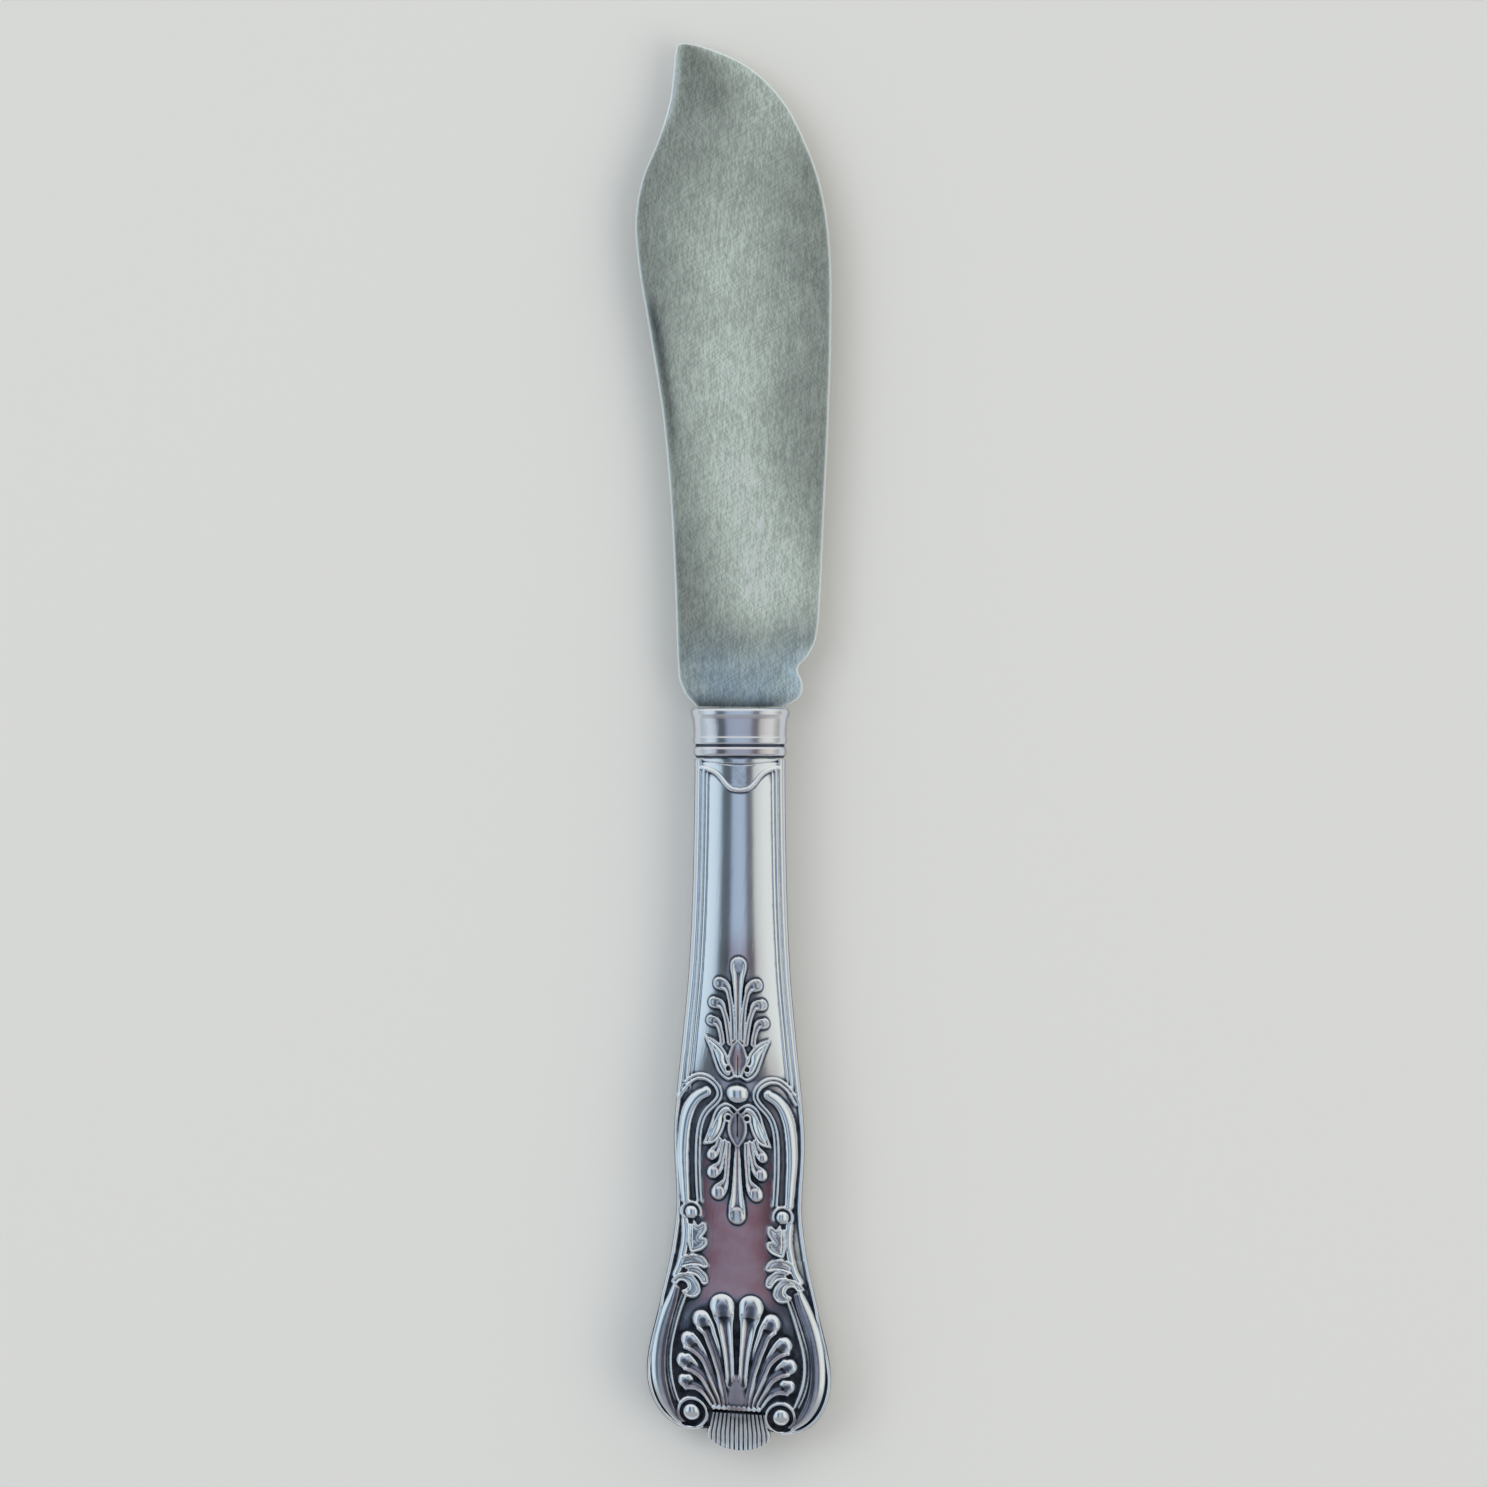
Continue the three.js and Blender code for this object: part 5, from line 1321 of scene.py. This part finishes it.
def polished_silver(name, smooth, rough):
    """Polished silver: tarnish in the hollows, painted shade on the sides, a mauve tint that is partly thin
    film and partly painted reflection, hairline scratches, and gloss that varies in soft patches.
    """
    finish = bpy.context.scene.knife_finish
    material, tree, shader = new_material(name)
    place = coordinates(tree, "Object")
    tarnish = add_node(tree, "Group", {
        "Vector": place, "Hollow": stored(tree, "hollow"), "Film_and_sheen": stored(tree, "film_sheen_and_rim"),
        "Silver": rgba(finish.silver), "Mauve": rgba(finish.mauve), "Film": rgba(finish.film),
        "Black": rgba(finish.tarnish),
    }, node_tree=tarnish_and_sheen_group()).outputs
    lines = hairlines(tree, place, 0.15, (2600.0, 160.0, 300.0), 0.56)
    smears = add_noise(tree, "smears", place, 160.0, 3.0)["Fac"]
    gloss = remapped(tree, smears, 0.0, 1.0, smooth, rough)
    feed(tree, shader, {
        "Metallic": 1.0,
        "Base Color": tarnish["Colour"],
        "Roughness": combined(tree, "MULTIPLY_ADD", tarnish["Mask"], 0.35, gloss),
        "Normal": bumped(tree, "scratches", lines, 0.12, SCRATCH_DEPTH),
    })
    return material


def worn_silver(name):
    """Worn blade silver: a satin face under short hairline scratches in several directions, darker away from
    a lighter lane up the blade, with painted shade inside the spine and a painted shadow beside the collar,
    bluish where it is stained and in that painted shade, and bright along the rubbed rim."""
    finish = bpy.context.scene.knife_finish
    material, tree, shader = new_material(name)
    place = coordinates(tree, "Object")
    darkening, rim, stain = (stored(tree, label) for label in ATTRIBUTES)
    scratches, *others = (
        hairlines(tree, place, math.radians(angle), stretch, 0.42) for angle, stretch in BLADE_SCRATCHES
    )
    for lines in others:
        scratches = combined(tree, "ADD", scratches, lines)
    clouds = add_noise(tree, "clouds", place, 120.0, 6.0, 0.62)["Fac"]
    # Darkening of the face, which holds painted shade inside the spine and a painted shadow beside the
    # collar.
    face_darkness = combined(tree, "MULTIPLY_ADD", clouds, 0.5, darkening)
    contrast = remapped(tree, scratches, 1.2, 3.8, 0.76, 1.2)
    level = combined(tree, "MULTIPLY", remapped(tree, face_darkness, 0.25, 1.25, 1.0, 0.06), contrast)
    stained = combined(tree, "MULTIPLY", stain, remapped(tree, clouds, 0.36, 0.6, 0.25))
    tint = mixed(tree, stained, rgba(finish.blade), rgba(finish.blade_stain_and_shade))
    face = add_node(tree, "VectorMath", {0: tint, "Scale": level}, operation="SCALE").outputs["Vector"]
    feed(tree, shader, {
        "Metallic": 1.0,
        "Base Color": mixed(tree, rim, face, rgba(RUBBED_SILVER)),
        "Roughness": remapped(tree, rim, 0.0, 1.0, 0.55, 0.22),
        "Normal": bumped(tree, "scratches", scratches, 0.2, SCRATCH_DEPTH),
    })
    return material


def cast_pitch(name):
    """Dull cast pitch with a pitted skin."""
    dark = bpy.context.scene.knife_finish.pitch
    material, tree, shader = new_material(name)
    pits = add_noise(tree, "pits", coordinates(tree, "Object"), 700.0, 5.0)["Fac"]
    feed(tree, shader, {
        "Base Color": mixed(tree, pits, rgba(dark), rgba(2.2 * part for part in dark)),
        "Roughness": 0.8,
        "Normal": bumped(tree, "pits", pits, 0.5, 0.0001),
    })
    return material


# Operators

class KNIFE_OT_handle(Operator):
    """Make the front and the back of the struck handle."""

    bl_idname = "knife.handle"
    bl_label = "Struck handle"

    def execute(self, context):
        silver = polished_silver("handle_silver", 0.1, 0.19)
        parts = {"panel": [handle_panel(), handle_neck()], "butt": [handle_butt(), handle_tail()]}
        for part, patches in parts.items():
            front = mesh_object(f"front_{part}", patches)
            finish_piece(front, "front_shell", silver)
            back = mesh_object(f"back_{part}", [turned_over(*patch) for patch in patches])
            finish_piece(back, "back_shell", silver)
        ribbon = mesh_object("solder_ribbon", seam_ribbon())
        finish_piece(ribbon, "seam_solder", polished_silver("solder", 0.3, 0.4))
        return {"FINISHED"}


class KNIFE_OT_filling(Operator):
    """Give the filling its pitch."""

    bl_idname = "knife.filling"
    bl_label = "Filling"

    def execute(self, context):
        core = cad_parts["filling"]
        core.data.materials.clear()
        core.data.materials.append(cast_pitch("pitch"))
        return {"FINISHED"}


class KNIFE_OT_collar(Operator):
    """Make the turned collar."""

    bl_idname = "knife.collar"
    bl_label = "Collar"

    def execute(self, context):
        collar = mesh_object("turned_collar", [collar_body()])
        finish_piece(collar, "collar", polished_silver("collar_silver", 0.12, 0.24))
        return {"FINISHED"}


class KNIFE_OT_blade(Operator):
    """Make the blade with its tang."""

    bl_idname = "knife.blade"
    bl_label = "Blade"

    def execute(self, context):
        blade = mesh_object("blade_plate", [blade_body(), blade_tang()])
        finish_piece(blade, "blade", worn_silver("blade_silver"))
        return {"FINISHED"}


class KNIFE_OT_stage(Operator):
    """Set the floor, the studio light and the camera."""

    bl_idname = "knife.stage"
    bl_label = "Stage"

    def execute(self, context):
        settings = context.scene.knife_stage
        add_floor(settings)
        for lamp in LAMPS:
            add_lamp(*lamp)
        add_world()
        add_camera(context, settings)
        context.scene.view_settings.view_transform = "Standard"
        return {"FINISHED"}


# Stage, in metres

FLOOR_REACH = 6.0
FLOOR_GAP = 0.0001
CAMERA_OFFSET = (0.00043, -0.00441)  # of the picture's middle, from the axis at the collar's mouth
CAMERA_ROLL = 0.1  # degrees
SENSOR_WIDTH = 36.0  # millimetres
# Each lamp: its name, place, power and colour
LAMPS = (
    ("cool_box", (-0.55, 0.3, 0.9), 2.6, (0.92, 0.96, 1.0)),
    ("warm_box", (0.6, -0.2, 0.9), 2.2, (1.0, 0.96, 0.9)),
)
LAMP_SIZE = 0.7
# Colours of the surroundings by the direction across the knife, from far left over the top to far right
ACROSS = [
    (0.0, (0.46, 0.51, 0.54)), (0.05, (0.57, 0.64, 0.68)), (0.1, (0.745, 0.837, 0.874)),
    (0.2, (0.7, 0.806, 0.864)), (0.235, (0.548, 0.673, 0.762)), (0.265, (0.12, 0.153, 0.167)),
    (0.36, (0.099, 0.122, 0.139)), (0.4, (0.427, 0.52, 0.632)), (0.5, (0.46, 0.551, 0.66)),
    (0.57, (0.46, 0.53, 0.613)), (0.61, (0.164, 0.173, 0.195)), (0.67, (0.153, 0.153, 0.167)),
    (0.7, (0.657, 0.673, 0.613)), (0.8, (0.854, 0.857, 0.79)), (0.9, (0.832, 0.816, 0.743)),
    (0.95, (0.613, 0.592, 0.539)), (1.0, (0.46, 0.439, 0.409)),
]
# Each wall beyond an end of the knife: its name, the directions along the knife where it starts and where it
# is full, and its colour
END_WALLS = (
    ("tip wall", 0.25, 0.75, (0.876, 0.857, 0.818)),
    ("butt wall", -0.25, -0.75, (0.394, 0.388, 0.39)),
)
WALL_DRIFT = 0.12  # how far the walls' borders waver


def add_floor(settings):
    """Plain pale floor under the knife."""
    mesh = bpy.data.meshes.new("floor")
    corners = [(FLOOR_REACH * x, FLOOR_REACH * y, 0) for x, y in ((-1, -1), (1, -1), (1, 1), (-1, 1))]
    mesh.from_pydata(corners, [], [(0, 1, 2, 3)])
    floor = bpy.data.objects.new("floor", mesh)
    floor.location.z = CAD_BOX[0][2] - FLOOR_GAP
    material, tree, shader = new_material("floor")
    feed(tree, shader, {"Base Color": rgba(settings.floor), "Roughness": 0.9})
    mesh.materials.append(material)
    bpy.context.collection.objects.link(floor)


def add_lamp(name, place, power, colour):
    """Soft square lamp that faces the knife."""
    light = bpy.data.lights.new(name, "AREA")
    light.shape = "RECTANGLE"
    light.size = light.size_y = LAMP_SIZE
    light.energy = power
    light.color = colour
    lamp = bpy.data.objects.new(name, light)
    lamp.location = place
    away = math.hypot(place[0], place[1])
    lamp.rotation_euler = (math.atan2(away, place[2]), 0, math.atan2(place[0], -place[1]))
    lamp.visible_glossy = False
    bpy.context.collection.objects.link(lamp)


def set_ramp(ramp, stops):
    """Colour ramp with the given (place, colour) stops."""
    while len(ramp.color_ramp.elements) < len(stops):
        ramp.color_ramp.elements.new(0.5)
    for element, (place, colour) in zip(ramp.color_ramp.elements, stops):
        element.position = place
        element.color = rgba(colour)


def add_world():
    """Surroundings by direction: a cool bright band on the left, a bluish one overhead and a warm one on the
    right, with dim gaps between them, a pale wall beyond the tip and a dim one beyond the butt."""
    world = bpy.data.worlds.new("studio")
    world.use_nodes = True
    tree = world.node_tree
    direction = coordinates(tree, "Generated")
    uneven = add_noise(tree, "uneven walls", direction, 2.6, 2.0)["Color"]
    drifted = combined_vectors(tree, "MULTIPLY_ADD", uneven, (WALL_DRIFT,) * 3, direction)
    middle = combined_vectors(tree, "ADD", drifted, (-WALL_DRIFT / 2,) * 3)
    split = add_node(tree, "SeparateXYZ", {0: middle}).outputs
    ramp = add_node(tree, "ValToRGB", {"Fac": remapped(tree, split["X"], -1.0, 1.0)})
    set_ramp(ramp, ACROSS)
    colour = ramp.outputs["Color"]
    for label, start, full, wall in END_WALLS:
        share = remapped(tree, split["Y"], start, full, label=label, interpolation_type="SMOOTHSTEP")
        colour = mixed(tree, share, colour, rgba(wall))
    feed(tree, tree.nodes["Background"], {"Color": colour})
    bpy.context.scene.world = world


def add_camera(context, settings):
    """Camera that looks straight down, framed as the photograph is."""
    data = bpy.data.cameras.new("camera")
    camera = bpy.data.objects.new("camera", data)
    height = CAD_BOX[1][2] * 0.6
    x, y = CAMERA_OFFSET
    camera.location = (AXIS_X + x, MOUTH_Y + y, height + settings.camera_height)
    camera.rotation_euler = (0, 0, math.radians(CAMERA_ROLL))
    data.sensor_width = SENSOR_WIDTH
    data.lens = SENSOR_WIDTH * settings.camera_height / settings.frame_width
    data.clip_start = 0.01
    bpy.context.collection.objects.link(camera)
    context.scene.camera = camera


class KNIFE_PT_panel(Panel):
    """Lists the pieces of the knife and their settings."""

    bl_idname = "KNIFE_PT_panel"
    bl_label = "Butter Knife"
    bl_space_type = "VIEW_3D"
    bl_region_type = "UI"
    bl_category = "Knife"

    def draw(self, context):
        layout = self.layout
        for settings in ("knife_handle", "knife_blade", "knife_finish", "knife_stage"):
            group = getattr(context.scene, settings)
            box = layout.box()
            for name in group.bl_rna.properties.keys():
                if name not in ("rna_type", "name"):
                    box.prop(group, name)
        for operator in OPERATORS:
            layout.operator(operator.bl_idname)


SETTINGS = (
    ("knife_handle", KnifeHandleSettings),
    ("knife_blade", KnifeBladeSettings),
    ("knife_finish", KnifeFinishSettings),
    ("knife_stage", KnifeStageSettings),
)
OPERATORS = (KNIFE_OT_stage, KNIFE_OT_blade, KNIFE_OT_collar, KNIFE_OT_handle, KNIFE_OT_filling)


def register():
    for name, group in SETTINGS:
        bpy.utils.register_class(group)
        setattr(bpy.types.Scene, name, PointerProperty(type=group))
    for operator in OPERATORS:
        bpy.utils.register_class(operator)
    bpy.utils.register_class(KNIFE_PT_panel)


def unregister():
    bpy.utils.unregister_class(KNIFE_PT_panel)
    for operator in reversed(OPERATORS):
        bpy.utils.unregister_class(operator)
    for name, group in reversed(SETTINGS):
        delattr(bpy.types.Scene, name)
        bpy.utils.unregister_class(group)


def main():
    register()
    bpy.ops.knife.stage()
    bpy.ops.knife.blade()
    bpy.ops.knife.collar()
    bpy.ops.knife.handle()
    bpy.ops.knife.filling()


if __name__ == "__main__":
    main()
